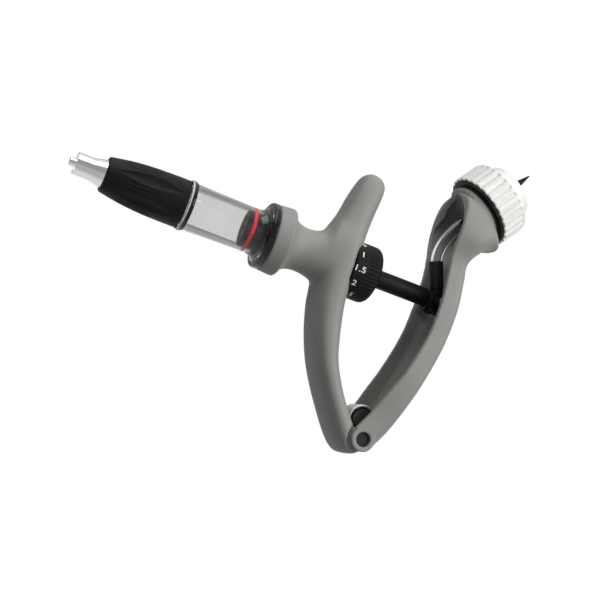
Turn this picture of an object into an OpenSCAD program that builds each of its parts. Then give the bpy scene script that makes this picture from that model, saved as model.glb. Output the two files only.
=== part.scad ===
// Automatic syringe with a bottle holder on its lever.
// The barrel's axis is X, the needle points to -X, and the hinge is at the foot, below the barrel.
// The origin is the centre of the Luer tip's end.

/* [Needle fitting] */
// Diameter of the Luer cone at its end
luer_tip_d = 3.97; // [3.9:0.01:4.1]
// Growth of the Luer cone's diameter per millimetre
luer_taper = 0.06; // [0.05:0.01:0.07]
// How far the Luer cone stands out of its lock collar
tip_reach = 2.7; // [2.1:0.1:4]
// Outside diameter of the lock collar
collar_d = 10.3; // [9.5:0.1:12]
// Inside diameter of the lock collar
collar_bore_d = 7.8; // [7:0.1:8.4]
// Length of the lock collar
collar_len = 7.3; // [6:0.1:10]
// Length of the flare behind the lock collar
flare_len = 6.1; // [4:0.1:9]
// Diameter of the stem where it enters the nut
stem_d = 13; // [12:0.1:15]
// Diameter of the liquid passage in the nose
nose_bore_d = 2; // [1:0.1:3]
// Thickness of the seal between the nose and the barrel's neck
luer_seal_t = 1.2; // [0.8:0.1:2]

/* [Front nut] */
// Length of the nut
nut_len = 38.6; // [34:0.1:46]
// Diameter of the nut at its mouth
nut_mouth_d = 16.8; // [16:0.1:20]
// Largest diameter of the nut
nut_d = 22.6; // [21.5:0.1:26]
// Number of scallops round the nut
scallops = 6; // [4:1:8]
// Depth of each scallop
scallop_depth = 1; // [0.4:0.1:1.6]

/* [Barrel] */
// Bore of the dosing chamber
bore_d = 18; // [16:0.1:18.8]
// Outside diameter of the barrel at its front
barrel_front_d = 22.2; // [21.6:0.1:24]
// Outside diameter of the barrel at its rear
barrel_rear_d = 21.2; // [21:0.1:22]
// Length of the barrel between the nut and the grip
barrel_len = 42.3; // [40:0.1:50]
// How far the flange behind the nut stands out past the barrel
flange_rim = 0.7; // [0.5:0.1:1.5]
// Thickness of that flange
flange_t = 2; // [1.2:0.1:3]
// Diameter of the threaded neck inside the nut
neck_d = 16; // [15:0.1:16.4]
// Bore of the neck
neck_bore_d = 11; // [10:0.1:12]
// Diameter of the flared rear end
foot_d = 29; // [27:0.1:32]
// Length of the flare
foot_flare_len = 5.5; // [4:0.1:7]
// Thickness of the flared end
foot_t = 3; // [2:0.1:4]
// Diameter of the spigot that enters the grip
spigot_d = 22; // [21.2:0.1:23]
// Length of that spigot
spigot_len = 7; // [5:0.1:8]

/* [Piston and rod] */
// Distance from the piston's front to the grip's face with the lever open
piston_setback = 12.3; // [11:0.1:13]
// Length of the piston
piston_len = 13; // [11:0.1:15]
// Clearance between the piston and the chamber's wall, on the radius
piston_gap = 0.3; // [0.2:0.05:0.5]
// Thickness of the piston's sealing ring
ring_t = 1.8; // [1.4:0.1:2.2]
// Distance from the piston's front to the middle of its ring
ring_setback = 2.7; // [2.3:0.1:4]
// Diameter of the rod
rod_d = 9; // [8:0.1:10]
// Diameter of the rod's passage
rod_bore_d = 2.2; // [1.6:0.1:2.6]
// Clearance of running fits, on the radius
fit_gap = 0.05; // [0.02:0.01:0.08]
// Clearance between neighbours that move past each other
free_gap = 0.3; // [0.2:0.05:0.5]

/* [Valves] */
// Diameter of each valve ball
ball_d = 5; // [4.5:0.1:5.4]
// Diameter of the hole that a ball closes
seat_d = 3.2; // [2.6:0.1:3.6]
// Outside diameter of the valve springs
valve_spring_d = 4.8; // [4.4:0.1:5]
// Wire of the valve springs
valve_wire_d = 0.5; // [0.4:0.05:0.6]
// Turns of the valve springs
valve_turns = 4; // [3:1:6]

/* [Grip] */
// How far the collar that holds the barrel stands out past its flared end
collar_rim = 1.5; // [1:0.1:2.5]
// Length of that collar
grip_collar_len = 8.4; // [8:0.1:11]
// Diameter of the neck behind the collar
grip_neck_d = 21; // [20:0.1:24]
// Diameter of the hub in front of the dose wheel
hub_d = 26.6; // [26:0.1:30]
// Distance from the collar's face to the hub's rear face
hub_x = 41; // [40:0.1:43]
// Half width of the finger grip
grip_half_w = 13.8; // [12.6:0.1:14]
// Height of the thumb horn's top above the barrel's axis
horn_top = 47; // [42:0.5:55]
// Outside diameter of the rod's guide bush
bush_d = 13; // [12.4:0.1:14]

/* [Dose wheel] */
// Diameter of the wheel
wheel_d = 27.8; // [26:0.1:30]
// Width of the wheel
wheel_w = 14.4; // [13:0.1:15]
// Number of finger grooves
wheel_grooves = 44; // [24:1:48]
// Width of the cutter that makes the finger grooves
wheel_groove_d = 1; // [0.8:0.1:1.4]
// Depth of the finger grooves
wheel_groove_depth = 0.3; // [0.2:0.05:0.4]

/* [Hinge and return spring] */
// Distance from the collar's face back to the hinge
hinge_dx = 70.2; // [69.8:0.1:70.6]
// Distance from the barrel's axis down to the hinge
hinge_drop = 76; // [74:0.5:78]
// Diameter of the pin between the lugs
pin_d = 4.2; // [3.6:0.1:4.4]
// Diameter of the pin's ends in the ears
pin_end_d = 6.9; // [6:0.1:7.4]
// Outside radius of the lever's ears
ear_r = 5.8; // [5:0.1:6]
// Outside diameter of the return spring's coil
coil_d = 14; // [13:0.1:14.2]
// Wire of the return spring
coil_wire_d = 1.8; // [1.5:0.1:1.9]
// Turns of the return spring
coil_turns = 6; // [4:1:6]

/* [Lever] */
// Half width of the lever's channel at the rod
lever_half_w = 17; // [16.6:0.1:18]
// Half width of the lever over its ears
foot_half_w = 14.4; // [14:0.1:15]
// Wall of the lever
lever_wall = 2.6; // [2.2:0.1:3]
// Distance from the collar's face back to the elbow's pivot
pivot_dx = 90.4; // [90:0.1:90.8]

/* [Elbow and hose] */
// Diameter of the elbow's body
elbow_d = 10; // [9:0.1:11]
// Diameter of the elbow's pivots in the lever's walls
pivot_d = 3.6; // [3:0.1:3.8]
// Lean of the hose nipple towards the needle, in degrees
nipple_lean = 19; // [14:1:22]
// Length of the nipple's sleeve
sleeve_len = 13; // [11:0.5:14]
// Outside diameter of the sleeve
sleeve_d = 6.5; // [6.2:0.1:7]
// Outside diameter of the hose
hose_d = 5.2; // [4.8:0.1:5.6]
// Bore of the hose
hose_bore_d = 3.4; // [3:0.1:3.8]

/* [Bottle holder] */
// Lean of the bottle's axis away from upright, in degrees
cap_lean = 37.5; // [34:0.5:40]
// Distance from the hinge back to the middle of the cap's rear rim
cap_dx = 29.1; // [28.4:0.1:30]
// Height of the middle of the cap's rear rim above the hinge
cap_dz = 126.2; // [124:0.1:129]
// Outside diameter of the cap's knurled skirt
cap_d = 38.6; // [37.6:0.1:42]
// Length of that skirt
skirt_len = 12.4; // [11:0.1:15]
// Inside diameter of the skirt's rear end, over the black ring
skirt_bore_d = 36.2; // [35.8:0.1:36.4]
// Number of knurl grooves
knurl_grooves = 25; // [20:1:32]
// Depth of the knurl grooves
knurl_depth = 0.6; // [0.4:0.1:0.8]
// Outside diameter of the plain sleeve in front of the skirt
sleeve_front_d = 25; // [24:0.1:28]
// Bore of the cap, which takes the bottle's crimped neck
cap_bore_d = 20.6; // [20:0.1:22]
// Length of the cap
cap_len = 22.6; // [20:0.1:26]
// How far the skirt's rear rim reaches down over the black ring
rim_drop = 2.4; // [1.6:0.1:2.6]
// Distance from the black ring's lower step to the floor's lower side
cap_floor_x = 3.2; // [2.8:0.1:4]
// Thickness of the cap's floor round the spike
cap_floor = 1.4; // [1.2:0.1:2]
// Diameter of the lever's socket under the cap
socket_d = 32; // [31:0.1:33]
// Thickness of the black ring under the cap
gasket_t = 2.4; // [1.5:0.1:3]
// How far the heel under the socket stands out
heel = 4.4; // [3:0.1:5]
// Diameter of the spike
spike_d = 5.2; // [4.5:0.1:6.5]
// Distance from the cap's rear rim to the spike's tip
spike_reach = 35; // [30:0.5:40]
// Length of the spike's point
spike_point = 7.5; // [5:0.5:10]

/* [Hidden] */
$fn = 64;
tiny = 0.01;
// How far cuts run past a face, and the length of cuts that leave the part
past = 1;
cut = 40;

// Places along the barrel's axis
collar_x = tip_reach;
flare_x = collar_x + collar_len;
nut_x = flare_x + flare_len;
nut_end = nut_x + nut_len;
grip_x = nut_end + barrel_len;
piston_x = grip_x - piston_setback;
piston_end = piston_x + piston_len;
wheel_x = grip_x + hub_x + free_gap;
wheel_end = wheel_x + wheel_w;

// The barrel's flange and the grip's collar, which follow the barrel
flange_d = barrel_front_d + 2 * flange_rim;
flange_ring_t = 0.9;
grip_collar_d = foot_d + 2 * collar_rim;
// The grip's neck sweeps in behind the collar and out again to the hub
neck_in = 9;
neck_flat = 3.1;
hub_front = 28;

// Nose inside the nut
nose_flange_x = nut_x + 5;
nose_flange_t = 2.5;
nose_flange_d = neck_d - 1;
neck_x = nose_flange_x + nose_flange_t + luer_seal_t;
nose_tail_d = neck_bore_d - 2 * fit_gap;

// Outlet valve, just in front of the chamber
seat_wall = 3;
chamber_x = nut_end + flange_t;
outlet_seat_x = chamber_x - seat_wall;
seat_rise = sqrt(pow(ball_d / 2, 2) - pow(seat_d / 2, 2));
outlet_ball_x = outlet_seat_x - seat_rise - fit_gap;
outlet_spring_len = 7;
outlet_spring_x = outlet_ball_x - ball_d / 2 - outlet_spring_len;
nose_tail_x = outlet_spring_x + 3;

// Inlet valve, inside the piston in front of the rod
rod_x = piston_x + piston_len - 3.2;
inlet_ball_x = rod_x - seat_rise - fit_gap;
piston_front_wall = 1.6;
valve_room_d = ball_d + 2 * free_gap;

// Hinge, elbow pivot and spring, in X and Z
hinge = [grip_x + hinge_dx, -hinge_drop];
// The pivot's arc is centred on the barrel's axis
pivot_drop = pow(pivot_dx - hinge_dx, 2) / (4 * hinge_drop);
pivot = [grip_x + pivot_dx, -pivot_drop];
coil = hinge + [-0.2, coil_d / 2 + pin_d / 2 + 0.3];
coil_half_len = coil_turns * (coil_wire_d + 0.2) / 2 + coil_wire_d / 2;
coil_end = coil_half_len - coil_wire_d / 2;
lug_in = coil_half_len + 0.6;
// The spring's tail starts under the coil, its leg this much further round
tail = coil - [0, (coil_d - coil_wire_d) / 2];
tail_len = 11.4;
leg_turn = 37;
ear_t = lever_wall;
ear_in = foot_half_w - ear_t;
lug_out = ear_in - free_gap;
ear_room_depth = 0.6;

// Rod end that floats in the elbow
rod_end = pivot[0] - elbow_d / 2 - 0.4;
rod_head_d = 4.8;
rod_head_t = 1.6;
rod_neck_d = 3.3;
rod_neck_len = 2;
float_up = pivot_drop + 0.15;
boss_d = 10.6;
elbow_half = 4.6;
pivot_end = lever_half_w - 1.4;
pivot_boss_in = lever_half_w - lever_wall - 2;

// Cap frame: Z runs out of the cap along the bottle's axis
cap_at = [hinge[0] + cap_dx, hinge[1] + cap_dz];
cap_dir = [sin(cap_lean), cos(cap_lean)];
socket_top = -gasket_t;
socket_t = 2.6;
spike_boss_d = 16;
spike_flange_d = cap_bore_d - 2 * free_gap;
spike_flange_t = 1.4;
spike_flange_z = cap_floor_x + cap_floor + 0.1;
seat_z = spike_flange_z + spike_flange_t;
spike_nipple_len = 6;
spike_nipple_d = hose_bore_d - 0.2;

// Hose route: along the nipple, over a free curve and onto the spike's nipple
nipple_dir = [-sin(nipple_lean), cos(nipple_lean)];
nipple_foot = pivot + [0.3, 3.4];
nipple_root = 3;
sleeve_rise = 4.4;
sleeve_foot = nipple_foot + nipple_dir * (sleeve_rise + fit_gap);
sleeve_top = sleeve_foot + nipple_dir * sleeve_len;
hose_end = cap_at + cap_dir * (socket_top - socket_t - 0.4);
hose_free_end = hose_end - cap_dir * 6;

// Grip stations from the horn's top to the foot: distance behind the collar's face, height,
// slope of the section, half thickness, half width
grip_stations = [
    [42.4, horn_top - 0.3, -10, 0.8, 1],
    [42.3, horn_top - 1.2, -10, 3.6, 4],
    [41.8, horn_top - 4.2, -10, 6.2, 6.6],
    [40.6, horn_top - 10, -10, 7.2, 8.2],
    [39.0, 29, -9, 7.7, 9],
    [37.4, 19, -7, 8.2, 10.6],
    [36.3, 8, -3, 8.5, grip_half_w],
    [36.0, -4, 0, 8.3, grip_half_w + 0.2],
    [36.6, -17, 5, 7.9, grip_half_w + 0.1],
    [38.3, -27, 11, 7.5, grip_half_w],
    [40.7, -36.6, 17, 6.9, grip_half_w],
    [44.0, -46.3, 23, 6.1, grip_half_w],
    [49.0, -55.9, 29, 5.7, grip_half_w],
    [hinge_dx - 15.3, 11 - hinge_drop, 34, 5.5, grip_half_w],
    [hinge_dx - 9.1, 2.7 - hinge_drop, 38, 5.7, grip_half_w],
    [hinge_dx - 4.4, -2.6 - hinge_drop, 40, 5.6, grip_half_w - 0.4],
    [hinge_dx - 1.8, -5.4 - hinge_drop, 42, 4.2, grip_half_w - 1.4],
    [hinge_dx - 0.4, -6.8 - hinge_drop, 42, 1.8, grip_half_w - 2.8]
];

// Flare stations from the neck into the body: distance behind the neck's front, top, bottom, half width
flare_stations = [
    [0.2, grip_neck_d / 2 - 0.5, 0.5 - grip_neck_d / 2, grip_neck_d / 2 - 0.5],
    [2.2, grip_neck_d / 2 + 0.3, -grip_neck_d / 2 - 0.3, grip_neck_d / 2 + 0.3],
    [4.6, grip_neck_d / 2 + 0.7, -grip_neck_d / 2 - 0.4, grip_neck_d / 2 + 0.5],
    [7.6, grip_neck_d / 2 + 2.1, -grip_neck_d / 2 - 0.6, grip_neck_d / 2 + 1],
    [9.6, grip_neck_d / 2 + 4.5, -grip_neck_d / 2 - 1.1, grip_neck_d / 2 + 1.8],
    [11.2, grip_neck_d / 2 + 9, -grip_neck_d / 2 - 2.5, grip_neck_d / 2 + 2.5],
    [13, grip_neck_d / 2 + 12.5, -grip_neck_d / 2 - 5, grip_neck_d / 2 + 2.6],
    [17, grip_neck_d / 2 + 13, -grip_neck_d / 2 - 6, grip_neck_d / 2 + 2]
];

// Lever stations from the ears to the socket: front edge behind and above the hinge, slope of the
// section, depth, half width, closing of the front (0 is open), roundness of the back
lever_stations = [
    [-5, 4.2, 22, 14.4, foot_half_w, 0, 2.8],
    [0.7, 14.8, 29, 14.4, foot_half_w + 0.6, 0, 2.8],
    [5.4, 26, 27, 13.9, foot_half_w + 2.2, 0, 2.8],
    [10.3, 38, 22, 12.6, lever_half_w + 0.7, 0, 2.8],
    [15.2, 56, 12, 11.8, lever_half_w + 0.6, 0, 2.8],
    [16.9, 73, 3, 11.8, lever_half_w, 0, 2.8],
    [16.5, 87, -2, 11.3, lever_half_w - 1.6, 0, 2.8],
    [15.8, 97, 3, 12, lever_half_w - 2, 0, 2.6],
    [14.7, 109, 15, 19, lever_half_w - 1, 0.02, 2.4],
    [14, 120, 28, 27, socket_d / 2 + 0.4, 0.14, 2.2],
    [13.8, 125, 32, 31.2, socket_d / 2 + 0.7, 0.46, 2.1],
    [13.6, 128, 34.5, 29.8 + heel, socket_d / 2 + 0.6, 0.9, 2],
    [
        cap_dx + cap_dir[0] * (socket_top - 2) - cap_dir[1] * socket_d / 2,
        cap_dz + cap_dir[1] * (socket_top - 2) + cap_dir[0] * socket_d / 2,
        cap_lean, socket_d + heel, socket_d / 2, 0.96, 2
    ]
];

// Radius of the recess that the lever's lower front corners swing in
ear_room_r = norm([lever_stations[0][0], lever_stations[0][1]]) + 1.2;

// Helpers

// A point of a smooth curve through four neighbours
function through(a, b, c, d, t) =
    0.5 * (2 * b + (c - a) * t + (2 * a - 5 * b + 4 * c - d) * t * t
        + (3 * b - a - 3 * c + d) * t * t * t);

// Stations filled in with steps in between
function filled(rows, steps) = [
    for (i = [0 : len(rows) - 2], k = [0 : steps - 1])
        through(rows[max(i - 1, 0)], rows[i], rows[i + 1], rows[min(i + 2, len(rows) - 1)], k / steps),
    rows[len(rows) - 1]
];

function sign_pow(v, e) = sign(v) * pow(abs(v), e);
function unit(v) = v / norm(v);
function reversed(list) = [for (i = [len(list) - 1 : -1 : 0]) list[i]];

// End faces of a ring of points: a filled one, and one that runs out and back along a channel's wall
function filled_end(n) = [[for (j = [0 : n - 1]) j]];
function channel_end(n) = [
    for (i = [0 : n / 2 - 2]) each [[i, i + 1, n - 2 - i], [i, n - 2 - i, n - 1 - i]]
];

// A closed solid through rings with equal numbers of points
module loft(rings, end_faces) {
    n = len(rings[0]);
    m = len(rings);
    faces = [
        for (f = end_faces) reversed(f),
        for (i = [0 : m - 2], j = [0 : n - 1])
            each [
                [i * n + j, i * n + (j + 1) % n, (i + 1) * n + (j + 1) % n],
                [i * n + j, (i + 1) * n + (j + 1) % n, (i + 1) * n + j]
            ],
        for (f = end_faces) [for (j = f) (m - 1) * n + j]
    ];
    polyhedron([for (r = rings) each r], faces, convexity = 8);
}

// Rings of a round wire or hose along a path
function wire_rings(path, radius, sides) = [
    for (i = [0 : len(path) - 1])
        let (
            along = unit(path[min(i + 1, len(path) - 1)] - path[max(i - 1, 0)]),
            side = unit(cross(along, abs(along[1]) > 0.9 ? [1, 0, 0] : [0, 1, 0])),
            up = cross(side, along)
        )
        [
            for (k = [0 : sides - 1])
                let (a = 360 * k / sides)
                path[i] + radius * (cos(a) * side + sin(a) * up)
        ]
];

// Points of a spring's coil round the X axis
function coil_path(x, length, radius, turns, steps) = [
    for (i = [0 : turns * steps])
        [x + length * i / (turns * steps), radius * cos(360 * i / steps), radius * sin(360 * i / steps)]
];

// A turned piece: points are [radius, x]
module turned(points) rotate([0, 90, 0]) rotate_extrude() polygon(points);

// A round bar along X
module bar(x0, x1, d) translate([x0, 0, 0]) rotate([0, 90, 0]) cylinder(h = x1 - x0, d = d);

// A round bar along Y at a point of the X-Z plane
module cross_bar(at, y0, y1, d) translate([at[0], y1, at[1]]) rotate([90, 0, 0]) cylinder(h = y1 - y0, d = d);

// The same on both sides of the middle plane
module both_sides() {
    children();
    mirror([0, 1, 0]) children();
}

// The frame of the cap, of the nipple
module in_cap_frame() translate([cap_at[0], 0, cap_at[1]]) rotate([0, cap_lean, 0]) children();
module in_nipple_frame()
    translate([nipple_foot[0], 0, nipple_foot[1]]) rotate([0, -nipple_lean, 0]) children();

// Needle fitting

module luer_connector() color("gainsboro") difference() {
    union() {
        turned([
            [0, 0], [luer_tip_d / 2, 0],
            [luer_tip_d / 2 + luer_taper * (flare_x - 1) / 2, flare_x - 1],
            [0, flare_x - 1]
        ]);
        difference() {
            turned([
                [0, collar_x], [collar_d / 2 - 0.5, collar_x], [collar_d / 2, collar_x + 0.5],
                [collar_d / 2, flare_x], [stem_d / 2, nut_x], [stem_d / 2, nose_flange_x],
                [nose_flange_d / 2, nose_flange_x], [nose_flange_d / 2, nose_flange_x + nose_flange_t],
                [nose_tail_d / 2, nose_flange_x + nose_flange_t], [nose_tail_d / 2, nose_tail_x],
                [0, nose_tail_x]
            ]);
            turned([
                [luer_tip_d / 2 + luer_taper * collar_x / 2, collar_x - 1], [collar_bore_d / 2, collar_x - 1],
                [collar_bore_d / 2, flare_x - 1],
                [luer_tip_d / 2 + luer_taper * (flare_x - 1) / 2, flare_x - 1]
            ]);
        }
    }
    bar(-past, outlet_spring_x + past, nose_bore_d);
    bar(outlet_spring_x, nose_tail_x + past, valve_spring_d + 2 * free_gap);
}

module luer_seal() color("dimgray") difference() {
    bar(nose_flange_x + nose_flange_t, neck_x, nose_flange_d);
    bar(nose_flange_x, neck_x + past, nose_tail_d + 2 * fit_gap);
}

// The nut's outline grows from the mouth to its largest diameter, then runs nearly straight
function nut_radius(u) = (nut_mouth_d + (nut_d - nut_mouth_d) * sin(90 * min(1, u * 1.5))) / 2;

module front_nut() color("#1d1d1e") difference() {
    steps = 12;
    turned([
        [stem_d / 2 + 0.1, nut_x], [nut_mouth_d / 2 - 0.8, nut_x],
        for (i = [0 : steps]) [nut_radius(i / steps), nut_x + 0.8 + (nut_len - 1.4) * i / steps],
        [nut_d / 2 - 0.5, nut_end], [neck_d / 2 + 0.1, nut_end], [neck_d / 2 + 0.1, nose_flange_x],
        [stem_d / 2 + 0.1, nose_flange_x]
    ]);
    // Each scallop is the bite of a large drum laid across the nut
    drum_r = 150;
    for (i = [0 : scallops - 1])
        rotate([360 * i / scallops, 0, 0])
            translate([nut_x + nut_len * 0.52, 0, nut_d / 2 - scallop_depth + drum_r])
                rotate([90, 0, 0]) cylinder(h = nut_d, r = drum_r, center = true, $fn = 128);
}

module valve_ball(x) translate([x, 0, 0]) sphere(d = ball_d);

module valve_spring(x, length) {
    path = coil_path(x, length, (valve_spring_d - valve_wire_d) / 2, valve_turns, 12);
    loft(wire_rings(path, valve_wire_d / 2, 6), filled_end(6));
}

module outlet_valve_ball() color("silver") valve_ball(outlet_ball_x);

module outlet_valve_spring() color("silver")
    valve_spring(
        outlet_spring_x + valve_wire_d / 2 + fit_gap, outlet_spring_len - valve_wire_d - 2 * fit_gap
    );

// Barrel

module barrel() color("#d8e4ea", 0.5) difference() {
    flare_start = grip_x - foot_t - foot_flare_len;
    turned([
        [0, neck_x], [neck_d / 2, neck_x], [neck_d / 2, nut_end], [flange_d / 2, nut_end],
        [flange_d / 2, nut_end + flange_t], [barrel_front_d / 2, nut_end + flange_t],
        [barrel_rear_d / 2, flare_start],
        for (a = [15 : 15 : 75])
            [
                barrel_rear_d / 2 + (foot_d - barrel_rear_d) / 2 * (1 - cos(a)),
                flare_start + foot_flare_len * sin(a)
            ],
        [foot_d / 2, grip_x - foot_t], [foot_d / 2, grip_x], [spigot_d / 2, grip_x],
        [spigot_d / 2, grip_x + spigot_len], [0, grip_x + spigot_len]
    ]);
    bar(chamber_x, grip_x + spigot_len + past, bore_d);
    bar(outlet_seat_x - past, chamber_x + past, seat_d);
    bar(neck_x - past, outlet_seat_x, neck_bore_d);
}

module flange_ring() color("#1d1d1e") difference() {
    ring_end = chamber_x + flange_ring_t;
    bar(chamber_x, ring_end, barrel_front_d + flange_rim);
    bar(nut_end, ring_end + past, barrel_front_d + 2 * fit_gap);
}

module barrel_seat_ring() color("#1d1d1e")
    turned([
        [foot_d / 2 + fit_gap, grip_x - foot_t], [grip_collar_d / 2 - 0.5, grip_x - foot_t],
        [grip_collar_d / 2, grip_x - foot_t + 0.5], [grip_collar_d / 2, grip_x],
        [foot_d / 2 + fit_gap, grip_x]
    ]);

// Piston and rod

module piston() color("#232324") difference() {
    r = bore_d / 2 - piston_gap;
    groove_x = piston_x + ring_setback - ring_t / 2 - fit_gap;
    turned([
        [0, piston_x], [r - 0.6, piston_x], [r, piston_x + 0.6], [r, groove_x],
        [bore_d / 2 - ring_t - 2 * fit_gap, groove_x],
        [bore_d / 2 - ring_t - 2 * fit_gap, groove_x + ring_t + 2 * fit_gap],
        [r, groove_x + ring_t + 2 * fit_gap], [r, piston_end], [0, piston_end]
    ]);
    bar(piston_x - past, piston_x + piston_front_wall + tiny, nose_bore_d);
    bar(piston_x + piston_front_wall, rod_x, valve_room_d);
    bar(rod_x, piston_end + past, rod_d);
}

module piston_o_ring() color("#c1272d")
    translate([piston_x + ring_setback, 0, 0]) rotate([0, 90, 0])
        rotate_extrude() translate([bore_d / 2 - fit_gap - ring_t / 2, 0]) circle(d = ring_t, $fn = 32);

module piston_rod() color("#1b1b1c") difference() {
    head_x = rod_end + rod_neck_len;
    turned([
        [0, rod_x], [rod_d / 2, rod_x], [rod_d / 2, rod_end], [rod_neck_d / 2, rod_end],
        [rod_neck_d / 2, head_x], [rod_head_d / 2, head_x], [rod_head_d / 2, head_x + rod_head_t],
        [0, head_x + rod_head_t]
    ]);
    bar(rod_x - past, head_x + rod_head_t + past, rod_bore_d);
    bar(rod_x - past, rod_x + seat_wall, seat_d);
}

module inlet_valve_ball() color("silver") valve_ball(inlet_ball_x);

module inlet_valve_spring() color("silver") {
    start = piston_x + piston_front_wall + valve_wire_d / 2 + fit_gap;
    valve_spring(start, inlet_ball_x - ball_d / 2 - start - valve_wire_d / 2 - fit_gap);
}

// Grip and dose wheel

module rod_guide_bush() color("#2a2a2b") difference() {
    lip_t = 1.2;
    union() {
        bar(grip_x + grip_collar_len + neck_in, wheel_end - free_gap - lip_t, bush_d);
        bar(wheel_end - free_gap - lip_t, wheel_end - free_gap, bush_d + 3);
    }
    bar(grip_x, wheel_end + past, rod_d + 2 * fit_gap);
}

module dose_wheel() color("#1d1d1e") difference() {
    r = wheel_d / 2;
    edge = 3.4;
    turned([
        [bush_d / 2 + fit_gap, wheel_x], [r - 0.5, wheel_x], [r, wheel_x + 0.5], [r, wheel_end - edge],
        for (a = [15 : 15 : 90]) [r - edge * (1 - cos(a)), wheel_end - edge * (1 - sin(a))],
        [bush_d / 2 + 1.5 + free_gap, wheel_end], [bush_d / 2 + 1.5 + free_gap, wheel_end - 1.8],
        [bush_d / 2 + fit_gap, wheel_end - 1.8]
    ]);
    for (i = [0 : wheel_grooves - 1])
        rotate([360 * i / wheel_grooves, 0, 0])
            translate([0, 0, r + wheel_groove_d / 2 - wheel_groove_depth])
                bar(wheel_x + wheel_w * 0.4, wheel_end + past, wheel_groove_d);
}

function grip_ring(s, sides) = [
    for (k = [0 : sides - 1])
        let (
            a = 360 * k / sides,
            along = s[3] * sign_pow(cos(a), 0.8),
            across = s[4] * sign_pow(sin(a), 0.8)
        )
        [grip_x + s[0] + along * cos(s[2]), across, s[1] + along * sin(s[2])]
];

function flare_ring(s, sides) = [
    for (k = [0 : sides - 1])
        let (a = 360 * k / sides)
        [
            grip_x + grip_collar_len + neck_in + s[0],
            s[3] * sin(a),
            (s[1] + s[2]) / 2 + (s[1] - s[2]) / 2 * cos(a)
        ]
];

module grip_body() {
    sides = 20;
    loft([for (s = filled(grip_stations, 2)) grip_ring(s, sides)], filled_end(sides));
}

// Collar, neck and hub are turned about the barrel's axis
module grip_hub() {
    r_collar = grip_collar_d / 2;
    r_neck = grip_neck_d / 2;
    r_hub = hub_d / 2;
    translate([grip_x, 0, 0]) turned([
        [0, 0], [r_collar, 0], [r_collar + 0.6, grip_collar_len - 0.6],
        for (a = [0 : 20 : 80])
            [
                r_neck + (r_collar + 0.4 - r_neck) * (1 - sin(a)),
                grip_collar_len + neck_in * (1 - cos(a))
            ],
        [r_neck, grip_collar_len + neck_in], [r_neck, grip_collar_len + neck_in + neck_flat],
        [bush_d / 2 + 3, grip_collar_len + neck_in + neck_flat], [bush_d / 2 + 3, hub_front],
        [r_hub, hub_front + 4], [r_hub, hub_x], [0, hub_x]
    ]);
}

// The neck's skin sweeps up into the horn and down into the finger grip
module grip_flare() {
    sides = 24;
    loft([for (s = flare_stations) flare_ring(s, sides)], filled_end(sides));
}

module front_grip() color("#8f8e8a") difference() {
    union() {
        grip_body();
        grip_hub();
        grip_flare();
        cross_bar(hinge, -lug_out, lug_out, 2 * ear_r);
    }
    // Barrel socket and the bush's seat
    bar(grip_x - past, grip_x + spigot_len + 0.2, spigot_d + 2 * fit_gap);
    bar(grip_x, grip_x + hub_x + past, bush_d);
    // Room for the dose wheel and for the spring
    bar(grip_x + hub_x, wheel_end + free_gap, wheel_d + 2 * free_gap);
    cross_bar(coil, -lug_in, lug_in, coil_d + 2 * free_gap);
    translate([coil[0], -lug_in, tail[1] - coil_wire_d / 2 - free_gap])
        cube([cut, 2 * lug_in, coil_d]);
    translate([0, -coil_end, tail[1]])
        bar(tail[0] - tail_len - fit_gap, hinge[0], coil_wire_d + 2 * fit_gap);
    // Round recess in each side beside the ears, and the pin's bore
    both_sides() difference() {
        cross_bar(hinge, lug_out - ear_room_depth, cut, 2 * ear_room_r);
        cross_bar(hinge, 0, lug_out, 2 * ear_r);
    }
    cross_bar(hinge, -cut, cut, pin_d + 2 * fit_gap);
}

// Lever and hinge

// Half of a section, from the front edge to the back: [across, depth]
function lever_curve(half_w, front, depth, close, round, steps) = [
    for (i = [0 : steps])
        let (a = 90 * i / steps)
        [half_w * (1 - close + close * sin(a)), front + (depth - front) / 2 * (1 - cos(a))],
    for (i = [1 : steps])
        let (a = 90 * i / steps)
        [half_w * pow(cos(a), 2 / round), front + (depth - front) / 2 * (1 + pow(sin(a), 2 / round))]
];

function mirrored(list) = [for (p = list) [-p[0], p[1]]];

function lever_section(s, steps) =
    let (
        outer = lever_curve(s[4], 0, s[3], s[5], s[6], steps),
        inner = lever_curve(s[4] - lever_wall, lever_wall * s[5], s[3] - lever_wall, s[5], s[6], steps),
        last = len(outer) - 1
    )
    concat(
        outer,
        mirrored([for (i = [last - 1 : -1 : 0]) outer[i]]),
        mirrored(inner),
        [for (i = [last - 1 : -1 : 0]) inner[i]]
    );

function lever_ring(s, steps) = [
    for (p = lever_section(s, steps))
        [hinge[0] + s[0] + p[1] * cos(s[2]), p[0], hinge[1] + s[1] - p[1] * sin(s[2])]
];

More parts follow.
